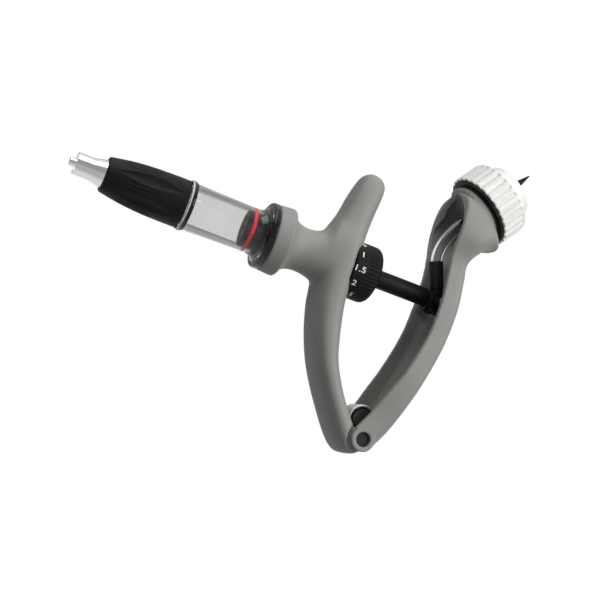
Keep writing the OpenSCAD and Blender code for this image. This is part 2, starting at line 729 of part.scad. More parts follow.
module rear_lever() color("#8f8e8a") difference() {
    rings = [for (s = filled(lever_stations, 2)) lever_ring(s, 4)];
    union() {
        loft(rings, channel_end(len(rings[0])));
        both_sides() cross_bar(hinge, ear_in, foot_half_w, 2 * ear_r);
        both_sides() cross_bar(pivot, pivot_boss_in, lever_half_w - 0.6, pivot_d + 2.4);
        in_cap_frame() translate([0, 0, socket_top - socket_t]) cylinder(h = socket_t, d = socket_d);
        // Seam where the channel's edges meet above its arch
        hull() for (s = [lever_stations[11], lever_stations[12]])
            translate([hinge[0] + s[0], 0, hinge[1] + s[1]])
                rotate([0, s[2], 0]) translate([lever_wall / 2, 0, 0]) cube(lever_wall, center = true);
    }
    both_sides() cross_bar(pivot, 0, pivot_end + 0.2, pivot_d + 2 * fit_gap);
    cross_bar(hinge, -cut, cut, pin_end_d + 2 * fit_gap);
    // Room for the grip's lugs
    cross_bar(hinge, -ear_in, ear_in, 2 * ear_r + 2 * free_gap);
    in_cap_frame() translate([0, 0, socket_top - socket_t - past])
        cylinder(h = socket_t + 2 * past, d = spike_nipple_d + 2.4 + 2 * fit_gap);
}

module hinge_pin() color("#3a3a3a") {
    end_recess = 1.7;
    both_sides() cross_bar(hinge, ear_in, foot_half_w - end_recess, pin_end_d);
    cross_bar(hinge, -ear_in - tiny, ear_in + tiny, pin_d);
}

// The coil lies along Y; its tail sits in the grip and its leg presses on the lever's web
module return_spring() color("gainsboro") {
    radius = (coil_d - coil_wire_d) / 2;
    steps = 16;
    count = coil_turns * steps + floor(leg_turn / 360 * steps);
    leg_dir = [cos(leg_turn), sin(leg_turn)];
    leg_len = 8.0;
    coil_points = [
        for (i = [0 : count])
            let (a = -90 + (360 * coil_turns + leg_turn) * i / count)
            [coil[0] + radius * cos(a), coil_end * (2 * i / count - 1), coil[1] + radius * sin(a)]
    ];
    last = coil_points[count];
    path = [
        [tail[0] - tail_len, -coil_end, tail[1]],
        each coil_points,
        [last[0] + leg_dir[0] * leg_len, coil_end, last[2] + leg_dir[1] * leg_len]
    ];
    loft(wire_rings(path, coil_wire_d / 2, 8), filled_end(8));
}

module spring_core() color("#2a2a2b")
    cross_bar(coil, -coil_half_len, coil_half_len, coil_d - 2 * coil_wire_d - 2 * free_gap);

// Elbow and hose

module hose_elbow() color("#1b1b1c") difference() {
    union() {
        cross_bar(pivot, -elbow_half, elbow_half, elbow_d);
        cross_bar(pivot, -pivot_end, pivot_end, pivot_d);
        translate([0, 0, pivot[1]]) bar(rod_end + free_gap, pivot[0] + 3, boss_d);
        in_nipple_frame() translate([0, 0, -nipple_root])
            cylinder(h = nipple_root + sleeve_rise, d = sleeve_d);
        in_nipple_frame() cylinder(h = sleeve_len + 1.4, d = hose_bore_d - 0.2);
    }
    // The rod's head floats up and down in this slot
    head_x = rod_end + rod_neck_len;
    for (z = [-float_up, float_up])
        translate([0, 0, pivot[1] + z]) bar(rod_end, head_x, rod_neck_d + 2 * free_gap);
    translate([rod_end, -rod_neck_d / 2 - free_gap, pivot[1] - float_up])
        cube([rod_neck_len, rod_neck_d + 2 * free_gap, 2 * float_up]);
    for (z = [-float_up, float_up])
        translate([0, 0, pivot[1] + z])
            bar(head_x - free_gap, head_x + rod_head_t + free_gap, rod_head_d + 2 * free_gap);
    translate([head_x - free_gap, -rod_head_d / 2 - free_gap, pivot[1] - float_up])
        cube([rod_head_t + 2 * free_gap, rod_head_d + 2 * free_gap, 2 * float_up]);
    in_nipple_frame() translate([0, 0, -2]) cylinder(h = sleeve_len + 5, d = nose_bore_d);
}

module hose_sleeve() color("#1b1b1c")
    in_nipple_frame() translate([0, 0, sleeve_rise + fit_gap]) difference() {
    cylinder(h = sleeve_len, d = sleeve_d);
    translate([0, 0, -past]) cylinder(h = sleeve_len + 2 * past, d = hose_d + 2 * fit_gap);
}

function curve_point(a, b, c, d, t) =
    pow(1 - t, 3) * a + 3 * t * pow(1 - t, 2) * b + 3 * t * t * (1 - t) * c + pow(t, 3) * d;

hose_route = [
    sleeve_foot, sleeve_foot + nipple_dir * 5, sleeve_foot + nipple_dir * 10,
    for (i = [0 : 8])
        curve_point(
            sleeve_top, sleeve_top + nipple_dir * 6, hose_free_end - cap_dir * 9, hose_free_end, i / 8
        ),
    (hose_free_end + hose_end) / 2, hose_end
];

module hose() color("#dfe6ea", 0.6) difference() {
    route = [for (p = hose_route) [p[0], 0, p[1]]];
    sides = 12;
    loft(wire_rings(route, hose_d / 2, sides), filled_end(sides));
    inner = concat([route[0] * 2 - route[1]], route, [route[len(route) - 1] * 2 - route[len(route) - 2]]);
    loft(wire_rings(inner, hose_bore_d / 2, sides), filled_end(sides));
}

// Bottle holder, in the cap's frame

module cap_gasket() color("#151515") in_cap_frame() difference() {
    union() {
        translate([0, 0, socket_top]) cylinder(h = gasket_t, d = socket_d - 0.6);
        translate([0, 0, -rim_drop / 2])
            cylinder(h = rim_drop / 2 + cap_floor_x - 0.15, d = skirt_bore_d - 2 * free_gap);
    }
    translate([0, 0, socket_top - past]) cylinder(h = cut, d = spike_boss_d + 2 * fit_gap);
}

module bottle_cap() color("#f2f1ed") in_cap_frame() difference() {
    r = cap_d / 2;
    r_front = sleeve_front_d / 2;
    crown = 2;
    groove_d = 1.8;
    rotate_extrude() polygon([
        [skirt_bore_d / 2, -rim_drop], [r - 0.3, -rim_drop], [r, 0.3 - rim_drop], [r, skirt_len - 1.6],
        [r - 0.5, skirt_len - 0.5],
        [r - 1.6, skirt_len], [r_front + 1.6, skirt_len], [r_front + 0.8, skirt_len + 0.6],
        [r_front, cap_len - crown],
        for (a = [30 : 30 : 90]) [r_front - crown * 0.9 * (1 - cos(a)), cap_len - crown * (1 - sin(a))],
        [cap_bore_d / 2, cap_len], [cap_bore_d / 2, cap_floor_x + cap_floor],
        [spike_boss_d / 2 + free_gap, cap_floor_x + cap_floor], [spike_boss_d / 2 + free_gap, cap_floor_x],
        [skirt_bore_d / 2, cap_floor_x]
    ]);
    for (i = [0 : knurl_grooves - 1])
        rotate([0, 0, 360 * (i + 0.5) / knurl_grooves])
            translate([r + groove_d / 2 - knurl_depth, 0, -rim_drop - past])
                cylinder(h = rim_drop + past + skirt_len - 1.8, d = groove_d);
}

module bottle_spike() color("#1b1b1c") in_cap_frame() difference() {
    foot_d = spike_nipple_d + 2.4;
    foot_z = socket_top - socket_t;
    union() {
        translate([0, 0, socket_top]) cylinder(h = spike_flange_z - socket_top, d = spike_boss_d);
        translate([0, 0, spike_flange_z]) cylinder(h = spike_flange_t, d = spike_flange_d);
        translate([0, 0, seat_z - tiny])
            cylinder(h = spike_reach - spike_point - seat_z + tiny, d = spike_d);
        translate([0, 0, spike_reach - spike_point]) cylinder(h = spike_point, d1 = spike_d, d2 = 0.2);
        translate([0, 0, foot_z]) cylinder(h = socket_t + tiny, d = foot_d);
        translate([0, 0, foot_z - spike_nipple_len])
            cylinder(h = spike_nipple_len + tiny, d = spike_nipple_d);
    }
    translate([0, 0, foot_z - spike_nipple_len - 1])
        cylinder(h = spike_reach - spike_point - foot_z + spike_nipple_len - 1, d = nose_bore_d);
    translate([0, 0, spike_reach - spike_point - 3])
        rotate([90, 0, 0]) cylinder(h = 2 * spike_d, d = nose_bore_d, center = true);
}

luer_connector();
luer_seal();
front_nut();
outlet_valve_ball();
outlet_valve_spring();
barrel();
flange_ring();
barrel_seat_ring();
piston();
piston_o_ring();
piston_rod();
inlet_valve_ball();
inlet_valve_spring();
rod_guide_bush();
dose_wheel();
front_grip();
rear_lever();
hinge_pin();
return_spring();
spring_core();
hose_elbow();
hose_sleeve();
hose();
cap_gasket();
bottle_cap();
bottle_spike();
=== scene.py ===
"""Looks of an automatic syringe with a bottle holder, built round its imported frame."""

import logging
from collections.abc import Callable, Sequence
from dataclasses import dataclass
from enum import Enum
from math import atan2, copysign, cos, hypot, pi, radians, sin
from typing import Any, Self

import bmesh
import bpy
from mathutils import Matrix, Vector


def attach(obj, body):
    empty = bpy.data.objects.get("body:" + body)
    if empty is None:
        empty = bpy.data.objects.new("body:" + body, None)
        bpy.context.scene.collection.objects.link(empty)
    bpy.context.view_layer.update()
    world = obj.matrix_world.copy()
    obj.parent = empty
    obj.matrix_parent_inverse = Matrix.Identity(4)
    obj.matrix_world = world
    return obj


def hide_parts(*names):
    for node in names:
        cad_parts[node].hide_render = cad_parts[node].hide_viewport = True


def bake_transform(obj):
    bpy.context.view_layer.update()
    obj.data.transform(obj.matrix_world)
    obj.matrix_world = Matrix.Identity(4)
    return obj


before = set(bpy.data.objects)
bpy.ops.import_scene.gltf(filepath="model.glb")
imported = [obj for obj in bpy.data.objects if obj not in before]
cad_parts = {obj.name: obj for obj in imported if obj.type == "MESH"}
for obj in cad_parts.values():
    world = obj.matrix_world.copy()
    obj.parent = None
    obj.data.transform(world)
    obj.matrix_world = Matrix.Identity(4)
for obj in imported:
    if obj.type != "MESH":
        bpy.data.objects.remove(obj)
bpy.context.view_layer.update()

LOG = logging.getLogger("automatic_syringe")
MM = 0.001
TURN = 2 * pi
ACROSS = Vector((0, 1, 0))
Point = tuple[float, float]
# A row of numbers that belong together
Station = tuple[float, ...]
Tree = bpy.types.NodeTree
Socket = bpy.types.NodeSocket
# Range that most of a noise texture's values lie in
NOISE_SPAN: Point = (0.3, 0.7)


class Body(str, Enum):
    """Moving bodies of the frame that pieces ride on."""

    GRIP = "grip"
    LEVER = "lever"
    PLUNGER = "plunger"
    ELBOW = "elbow"
    WHEEL = "wheel"
    CAP = "cap"


# Materials


def linear(code: str) -> tuple[float, float, float, float]:
    """Turn an sRGB hex colour into linear red, green, blue and alpha."""
    parts = [int(code[i : i + 2], 16) / 255 for i in (1, 3, 5)]
    red, green, blue = (p / 12.92 if p <= 0.04045 else ((p + 0.055) / 1.055) ** 2.4 for p in parts)
    return red, green, blue, 1.0


def add_node(tree: Tree, kind: str, inputs: dict[str | int, Any], **settings: Any) -> bpy.types.Node:
    """Add one shader node.

    Args:
        tree: the material's or world's node tree.
        kind: the node's type name.
        inputs: values for its sockets; a value that is another node's socket is linked.
        settings: the node's own properties.

    Returns:
        The new node.
    """
    made = tree.nodes.new(kind)
    for key, value in settings.items():
        setattr(made, key, value)
    for key, value in inputs.items():
        if isinstance(value, Socket):
            tree.links.new(value, made.inputs[key])
        else:
            made.inputs[key].default_value = value
    return made


def emptied(owner: bpy.types.ID) -> Tree:
    """Give the node tree of a material or world with nothing in it."""
    owner.use_nodes = True
    owner.node_tree.nodes.clear()
    return owner.node_tree


def math_node(tree: Tree, operation: str, first: Any, second: Any, clamp: bool = False) -> Socket:
    """Add a node that works on two values, and give its result."""
    made = add_node(tree, "ShaderNodeMath", {0: first, 1: second}, operation=operation, use_clamp=clamp)
    return made.outputs[0]


def range_node(tree: Tree, value: Socket, old: Point, new: Point) -> Socket:
    """Add a node that carries a value from an old range to a new one, and give its result."""
    ends = {"From Min": old[0], "From Max": old[1], "To Min": new[0], "To Max": new[1]}
    return add_node(tree, "ShaderNodeMapRange", {"Value": value} | ends).outputs["Result"]


@dataclass(frozen=True)
class Finish:
    """A real material: its colours, how they drift, its gloss and the fine relief of its skin.

    The sizes of the colour patches and of the grain, and the relief's height, are in millimetres.
    """

    name: str
    base: str
    drift: str
    patch: float
    gloss: Point
    grain: float
    relief: float
    metallic: float = 0.0
    ior: float = 1.5
    clear: float = 0.0
    coat: float = 0.0

    def material(self) -> bpy.types.Material:
        """Make the material, or find it if it is made already."""
        found = bpy.data.materials.get(self.name)
        if found:
            return found
        made = bpy.data.materials.new(self.name)
        tree = emptied(made)
        place = add_node(tree, "ShaderNodeTexCoord", {}).outputs["Object"]
        slow, fine = (
            add_node(tree, "ShaderNodeTexNoise", {"Vector": place, "Scale": 1 / (size * MM), "Detail": detail})
            .outputs["Fac"]
            for size, detail in ((self.patch, 3.0), (self.grain, 2.0))
        )
        tint = add_node(tree, "ShaderNodeValToRGB", {"Fac": slow})
        for i, colour in enumerate((self.base, self.drift)):
            tint.color_ramp.elements[i].position = NOISE_SPAN[i]
            tint.color_ramp.elements[i].color = linear(colour)
        skin = add_node(tree, "ShaderNodeBump", {"Height": fine, "Strength": 0.6, "Distance": self.relief * MM})
        shader = add_node(
            tree,
            "ShaderNodeBsdfPrincipled",
            {
                "Base Color": tint.outputs["Color"],
                "Roughness": range_node(tree, fine, NOISE_SPAN, self.gloss),
                "Normal": skin.outputs["Normal"],
                "Metallic": self.metallic,
                "IOR": self.ior,
                "Transmission Weight": self.clear,
                "Coat Weight": self.coat,
                "Coat Roughness": 0.08,
            },
        )
        add_node(tree, "ShaderNodeOutputMaterial", {"Surface": shader.outputs["BSDF"]})
        return made


# Glass-filled nylon of the grips: a warm mid grey, satin, with a fine spark-eroded skin
GREY_NYLON = Finish("grey_nylon", "#949390", "#8f8e8b", 22, (0.50, 0.60), 0.45, 0.012, ior=1.42)
# Moulded acetal of the nut, wheel, piston, rod and spike: deep black with a soft sheen
BLACK_ACETAL = Finish("black_acetal", "#141414", "#181819", 9, (0.46, 0.56), 0.4, 0.008, ior=1.22)
# Polished ABS of the rings round the barrel: black with sharp reflections
GLOSS_BLACK = Finish("gloss_black_abs", "#0e0e0f", "#121213", 9, (0.08, 0.14), 1.2, 0.002, ior=1.4)
# Polycarbonate of the barrel: water clear, with a faint grey tint
CLEAR_POLYCARBONATE = Finish(
    "clear_polycarbonate", "#e8e8e7", "#e4e4e3", 30, (0.01, 0.03), 3.0, 0.002, ior=1.46, clear=1.0
)
# The barrel's flange band, painted near white and part clear: a painted highlight where light gathers in the flange
PAINTED_HIGHLIGHT_POLYCARBONATE = Finish(
    "painted_highlight_polycarbonate", "#f2f2f1", "#e4e4e3", 6, (0.22, 0.34), 0.6, 0.004, clear=0.25
)
# Soft vinyl of the hose: clear, slightly cloudy
CLEAR_VINYL = Finish("clear_vinyl", "#f2f5f4", "#e9efee", 12, (0.04, 0.10), 1.5, 0.004, ior=1.42, clear=1.0)
# Chromed brass of the Luer nose: bright, with faint turning marks
CHROMED_BRASS = Finish("chromed_brass", "#dcdcdc", "#d2d3d4", 5, (0.10, 0.18), 0.5, 0.002, metallic=1.0)
# Drawn stainless wire of the springs and balls
SPRING_STEEL = Finish("spring_steel", "#d8d7d4", "#cccbc8", 3, (0.26, 0.36), 0.3, 0.003, metallic=0.7)
# Blackened steel of the spring's core: dark and dull
DARK_STEEL = Finish("blackened_steel", "#464543", "#3d3c3b", 4, (0.45, 0.55), 0.4, 0.004, metallic=0.3)
# Nitrile of the seals and the hose's sleeve, also the look of the dark hinge pin: matt black
BLACK_NITRILE = Finish("black_nitrile", "#121212", "#161616", 6, (0.50, 0.62), 0.3, 0.010, ior=1.34)
# Silicone of the piston's ring: signal red, slightly glossy
RED_SILICONE = Finish("red_silicone", "#f42233", "#ea1e2f", 5, (0.22, 0.32), 0.5, 0.004)
# Polypropylene of the bottle cap: warm white, waxy
WHITE_POLYPROPYLENE = Finish("white_polypropylene", "#f5f4f0", "#f0efeb", 14, (0.38, 0.48), 0.6, 0.006)
# Pad-printed ink of the dial
WHITE_INK = Finish("white_ink", "#f2f2f0", "#e8e8e6", 2, (0.45, 0.55), 0.2, 0.004)

# The frame's own pieces that stay as they are, by finish
NODE_FINISHES = {
    BLACK_NITRILE: ("luer_seal", "hinge_pin", "cap_gasket"),
    SPRING_STEEL: ("outlet_valve_ball", "outlet_valve_spring", "inlet_valve_ball", "inlet_valve_spring"),
    BLACK_ACETAL: ("rod_guide_bush", "hose_elbow"),
    DARK_STEEL: ("spring_core",),
}


# Shaping


def through(rows: Sequence[Station], steps: int) -> list[Station]:
    """Fill in stations with a smooth curve.

    Args:
        rows: the stations, each a row of numbers.
        steps: how many steps to make between neighbours.

    Returns:
        The stations with the new ones in between.
    """
    filled: list[Station] = []
    last = len(rows) - 1
    for i in range(last):
        near = [rows[min(max(i + k, 0), last)] for k in (-1, 0, 1, 2)]
        for k in range(steps):
            t = k / steps
            filled.append(
                tuple(
                    0.5 * (2 * b + (c - a) * t + (2 * a - 5 * b + 4 * c - d) * t**2 + (3 * b - a - 3 * c + d) * t**3)
                    for a, b, c, d in zip(*near)
                )
            )
    return [*filled, rows[last]]


def smooth_step(value: float) -> float:
    """Ease a value from 0 to 1."""
    t = min(max(value, 0.0), 1.0)
    return t * t * (3 - 2 * t)


def arc(step: float, count: int) -> list[float]:
    """Give angles from 0 up, from steps in degrees."""
    return [radians(step * k) for k in range(count)]


def rounding(x: float, radius: float, along: float, inwards: float, angles: Sequence[float]) -> list[Point]:
    """Give the corner of an outline, rounded by a size along the axis and a size inwards."""
    return [(x - along * (1 - sin(a)), radius - inwards * (1 - cos(a))) for a in angles]


def leaning(degrees: float) -> Vector:
    """Give the direction that leans from straight up towards the rear."""
    return Vector((sin(radians(degrees)), 0, cos(radians(degrees))))


def facing(at: Vector, along: Vector, axis: str = "X") -> Matrix:
    """Give the placement at a point that turns an axis to a direction."""
    return Matrix.Translation(at) @ along.to_track_quat(axis, "Y").to_matrix().to_4x4()


def off_line(angle: float, lines: int) -> float:
    """Give the angle from the nearest of the lines that are spread evenly round an axis."""
    pitch = TURN / lines
    return (angle + pitch / 2) % pitch - pitch / 2


def put(name: str, data: bpy.types.ID) -> bpy.types.Object:
    """Add an object to the scene."""
    made = bpy.data.objects.new(name, data)
    bpy.context.scene.collection.objects.link(made)
    return made


def tube_rings(path: Sequence[Vector], radius: float, sides: int) -> list[list[Vector]]:
    """Give the rings of a round tube along a path in the X-Z plane."""
    rings = []
    turns = [(cos(TURN * k / sides), sin(TURN * k / sides)) for k in range(sides)]
    for i, point in enumerate(path):
        along = (path[min(i + 1, len(path) - 1)] - path[max(i - 1, 0)]).normalized()
        side = along.cross(ACROSS).normalized()
        rings.append([point + radius * (c * side + s * ACROSS) for c, s in turns])
    return rings


class Form:
    """A mesh in millimetres while it is being shaped."""

    def __init__(self) -> None:
        """Start with nothing."""
        self.bm = bmesh.new()

    def weld(self) -> Self:
        """Merge points that coincide and turn all faces outwards."""
        bmesh.ops.remove_doubles(self.bm, verts=self.bm.verts[:], dist=1e-4)
        bmesh.ops.recalc_face_normals(self.bm, faces=self.bm.faces[:])
        return self

    def turn(self, outline: Sequence[Point], steps: int = 128) -> Self:
        """Spin a closed outline round the X axis.

        Args:
            outline: points as distance along X and radius.
            steps: number of faces round the axis.

        Returns:
            This form.
        """
        points = [self.bm.verts.new((x, 0, r)) for x, r in outline]
        edges = [self.bm.edges.new(pair) for pair in zip(points, points[1:] + points[:1])]
        bmesh.ops.spin(
            self.bm, geom=points + edges, cent=(0, 0, 0), axis=(1, 0, 0), angle=TURN, steps=steps, use_merge=True
        )
        return self.weld()

    def bar(self, start: Vector, end: Vector, radius: float, sides: int = 64) -> Self:
        """Add a round bar."""
        along = end - start
        bmesh.ops.create_cone(
            self.bm, cap_ends=True, segments=sides, radius1=radius, radius2=radius, depth=along.length,
            matrix=facing((start + end) / 2, along, "Z"),
        )
        return self

    def block(self, low: Vector, high: Vector) -> Self:
        """Add a box between two corners."""
        size = high - low
        place = Matrix.Translation((low + high) / 2) @ Matrix.Diagonal((*size, 1))
        bmesh.ops.create_cube(self.bm, size=1, matrix=place)
        return self

    def sweep(self, rings: Sequence[Sequence[Vector]], filled: bool = True) -> Self:
        """Extrude a ring through a row of ring shapes.

        Args:
            rings: the shapes, with equal numbers of points.
            filled: whether both ends get a face.

        Returns:
            This form.
        """
        count = len(rings[0])
        ring = bmesh.ops.create_circle(self.bm, segments=count, radius=1)["verts"]
        for vert, point in zip(ring, rings[0]):
            vert.co = point
        edges = list({e for v in ring for e in v.link_edges})
        ends = [edges]
        for shape in rings[1:]:
            made = bmesh.ops.extrude_edge_only(self.bm, edges=edges)["geom"]
            fresh = {v for v in made if isinstance(v, bmesh.types.BMVert)}
            number = {v: i for i, v in enumerate(ring)}
            ordered = [None] * count
            for vert in fresh:
                old = next(o for e in vert.link_edges if (o := e.other_vert(vert)) in number)
                ordered[number[old]] = vert
                vert.co = shape[number[old]]
            edges = [e for e in made if isinstance(e, bmesh.types.BMEdge) and set(e.verts) <= fresh]
            ring = ordered
        ends.append(edges)
        if filled:
            for end in ends:
                bmesh.ops.contextual_create(self.bm, geom=end)
        bmesh.ops.recalc_face_normals(self.bm, faces=self.bm.faces[:])
        return self

    def bevel(self, width: float, segments: int = 3, limit: float = 35) -> Self:
        """Round the edges that are sharper than a limit in degrees."""
        sharp = [e for e in self.bm.edges if e.calc_face_angle(0) > radians(limit)]
        bmesh.ops.bevel(
            self.bm, geom=sharp, offset=width, affect="EDGES", segments=segments, profile=0.5, material=-1,
            clamp_overlap=True,
        )
        return self

    def press(self, depth: Callable[[float, float, float], float]) -> Self:
        """Push points towards the X axis.

        Args:
            depth: gives the push from a point's distance along X, radius and angle.

        Returns:
            This form.
        """
        for vert in self.bm.verts:
            radius = hypot(vert.co.y, vert.co.z)
            if radius > 0:
                inwards = depth(vert.co.x, radius, atan2(vert.co.z, vert.co.y)) / radius
                vert.co.y *= 1 - inwards
                vert.co.z *= 1 - inwards
        return self

    def place(self, matrix: Matrix) -> Self:
        """Move the whole form."""
        bmesh.ops.transform(self.bm, matrix=matrix, verts=self.bm.verts[:])
        return self

    def as_object(self, name: str = "rough") -> bpy.types.Object:
        """Give the form as an object of the scene."""
        mesh = bpy.data.meshes.new(name)
        self.bm.to_mesh(mesh)
        return put(name, mesh)

    def load(self, work: bpy.types.Object) -> Self:
        """Take over what an object's text or modifiers make."""
        bpy.context.view_layer.update()
        done = bpy.data.meshes.new_from_object(work.evaluated_get(bpy.context.evaluated_depsgraph_get()))
        self.bm.clear()
        self.bm.from_mesh(done)
        bpy.data.meshes.remove(done)
        return self

    def take(self, work: bpy.types.Object, *helpers: bpy.types.Object) -> Self:
        """Load an object's result, then remove the object and its helpers."""
        self.load(work)
        for spent in (work, *helpers):
            bpy.data.meshes.remove(spent.data)
        return self

    def combine(self, others: Sequence["Form"], operation: str) -> Self:
        """Join other forms to this one or cut them from it.

        Args:
            others: the other forms.
            operation: the Boolean operation, UNION or DIFFERENCE.

        Returns:
            This form.
        """
        work = self.as_object()
        helpers = [other.as_object() for other in others]
        for helper in helpers:
            step = work.modifiers.new("combine", "BOOLEAN")
            step.operation = operation
            step.solver = "MANIFOLD"
            step.object = helper
        return self.take(work, *helpers)

    def remesh(self, size: float) -> Self:
        """Rebuild the surface from voxels, so that all that overlaps becomes one skin."""
        work = self.as_object()
        step = work.modifiers.new("remesh", "REMESH")
        step.mode = "VOXEL"
        step.voxel_size = size
        return self.take(work)

    def soften(self, times: int, where: Callable[[Vector], bool] = lambda point: True) -> Self:
        """Smooth the points of a region a number of times."""
        chosen = [v for v in self.bm.verts if where(v.co)]
        for _ in range(times):
            bmesh.ops.smooth_vert(
                self.bm, verts=chosen, factor=0.5, use_axis_x=True, use_axis_y=True, use_axis_z=True
            )
        return self

    def piece(
        self, name: str, finish: Finish, slot: str, body: Body | None, nodes: Sequence[str] = (), sharp: float = 35
    ) -> bpy.types.Object:
        """Make the form a finished piece.

        Args:
            name: the piece's name.
            finish: its material.
            slot: the record's material slot; not used.
            body: the body that it rides on, or None to leave it unattached, as for a piece that bends between two.
            nodes: nodes of the frame that it stands for.
            sharp: edges sharper than this stay sharp, in degrees.

        Returns:
            The piece.
        """
        self.place(Matrix.Scale(MM, 4))
        made = self.as_object(name)
        self.bm.free()
        mesh = made.data
        mesh.shade_smooth()
        mesh.set_sharp_from_angle(angle=radians(sharp))
        mesh.materials.append(finish.material())
        if body:
            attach(made, body.value)
        if nodes:
            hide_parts(*nodes)
        LOG.info("%s: %d faces", name, len(mesh.polygons))
        return made


def cross_bar(at: Vector, half: float, radius: float) -> Form:
    """Give a bar across the middle plane."""
    return Form().bar(at - half * ACROSS, at + half * ACROSS, radius)


def both_sides(at: Vector, near: float, far: float, radius: float) -> list[Form]:
    """Give a bar beside the middle plane and its mirror image."""
    return [Form().bar(at + side * near * ACROSS, at + side * far * ACROSS, radius) for side in (1, -1)]


# Sub-assemblies

# Places that several of them share
HINGE = Vector((167.2, 0, -76))
COIL = Vector((167.0, 0, -66.6))
CAP_AT = Vector((196.3, 0, 50.2))
CAP_OUT = leaning(37.5)


@dataclass
class NeedleEnd:
    """Chromed Luer nose and the black nut that holds it to the barrel."""

    tip: float = 1.985
    bore: float = 1.0
    collar_x: float = 2.7
    collar: float = 5.15
    collar_bore: float = 3.9
    flare_x: float = 10.0
    nut_x: float = 16.1
    nut_end: float = 54.7
    stem: float = 6.5
    mouth: float = 8.4
    nut: float = 11.3
    scallops: int = 6
    scallop_phase: float = radians(166)
    scallop_depth: float = 1.0
    scallop_half: float = 0.27
    lip: float = 1.1
    neck_bore: float = 8.1
    shell: float = 5.0
    rows: int = 84
    rib_depth: float = 0.24
    rib_half: float = 0.06
    rib_lines: Point = (0.0, -0.17)

    def build(self) -> None:
        """Build the nose and the nut."""
        self.nose()
        self.union_nut()

    def nose(self) -> None:
        """Turn the Luer cone, its lock collar and the flared stem."""
        root = self.flare_x - 1
        cone = self.tip + 0.03 * root
        outline = [
            (0, self.bore), (0, self.tip), (root, cone), (root, self.collar_bore),
            (self.collar_x, self.collar_bore), (self.collar_x, self.collar), (self.flare_x, self.collar),
            (self.nut_x, self.stem), (self.nut_x + 4, self.stem), (self.nut_x + 4, self.bore),
        ]
        Form().turn(outline).bevel(0.3).piece("nose", CHROMED_BRASS, "chrome", Body.GRIP, ["luer_connector"])

    def nut_radius(self, u: float) -> float:
        """Give the nut's radius at a share of its length."""
        return self.mouth + (self.nut - self.mouth) * sin(pi / 2 * min(1.0, 1.5 * u))

    def union_nut(self) -> None:
        """Turn the nut, then press its scallops and fine ribs into it."""
        length = self.nut_end - self.nut_x
        skin = [
            (self.nut_x + self.lip + (length - self.lip - 0.8) * i / self.rows, self.nut_radius(i / self.rows))
            for i in range(self.rows + 1)
        ]
        mouth = rounding(self.nut_x, self.mouth, -self.lip, self.lip, (1.5, 1.1, 0.7, 0.35))
        rear = [(self.nut_end - 0.25, self.nut - 0.2), (self.nut_end, self.nut - 0.75)]
        Form().turn(
            [(self.nut_x, self.stem + 0.1), *mouth, *skin, *rear, (self.nut_end, self.neck_bore)]
            + [(self.nut_x + self.shell, self.neck_bore), (self.nut_x + self.shell, self.stem + 0.1)],
            480,
        ).press(self.pressed).piece("union_nut", BLACK_ACETAL, "black_plastic", Body.GRIP, ["front_nut"], 50)

    def pressed(self, x: float, radius: float, angle: float) -> float:
        """Give the depth of scallops and ribs at a point of the nut."""
        if radius < self.mouth - 0.2:
            return 0.0
        u = (x - self.nut_x) / (self.nut_end - self.nut_x)
        off = off_line(angle - self.scallop_phase, self.scallops)
        reach = 1 - ((u - 0.52) / 0.4) ** 2
        width = self.scallop_half * reach
        if reach > 0 and abs(off) < width:
            return self.scallop_depth * reach * (1 - (off / width) ** 2)
        side = abs(off) - pi / self.scallops
        patch = smooth_step((1 - ((u - 0.42) / 0.26) ** 2 - (side / 0.3) ** 2) / 0.35)
        gap = min(abs(side - line) for line in self.rib_lines) / self.rib_half
        return self.rib_depth * patch * max(0.0, 1 - gap * gap)


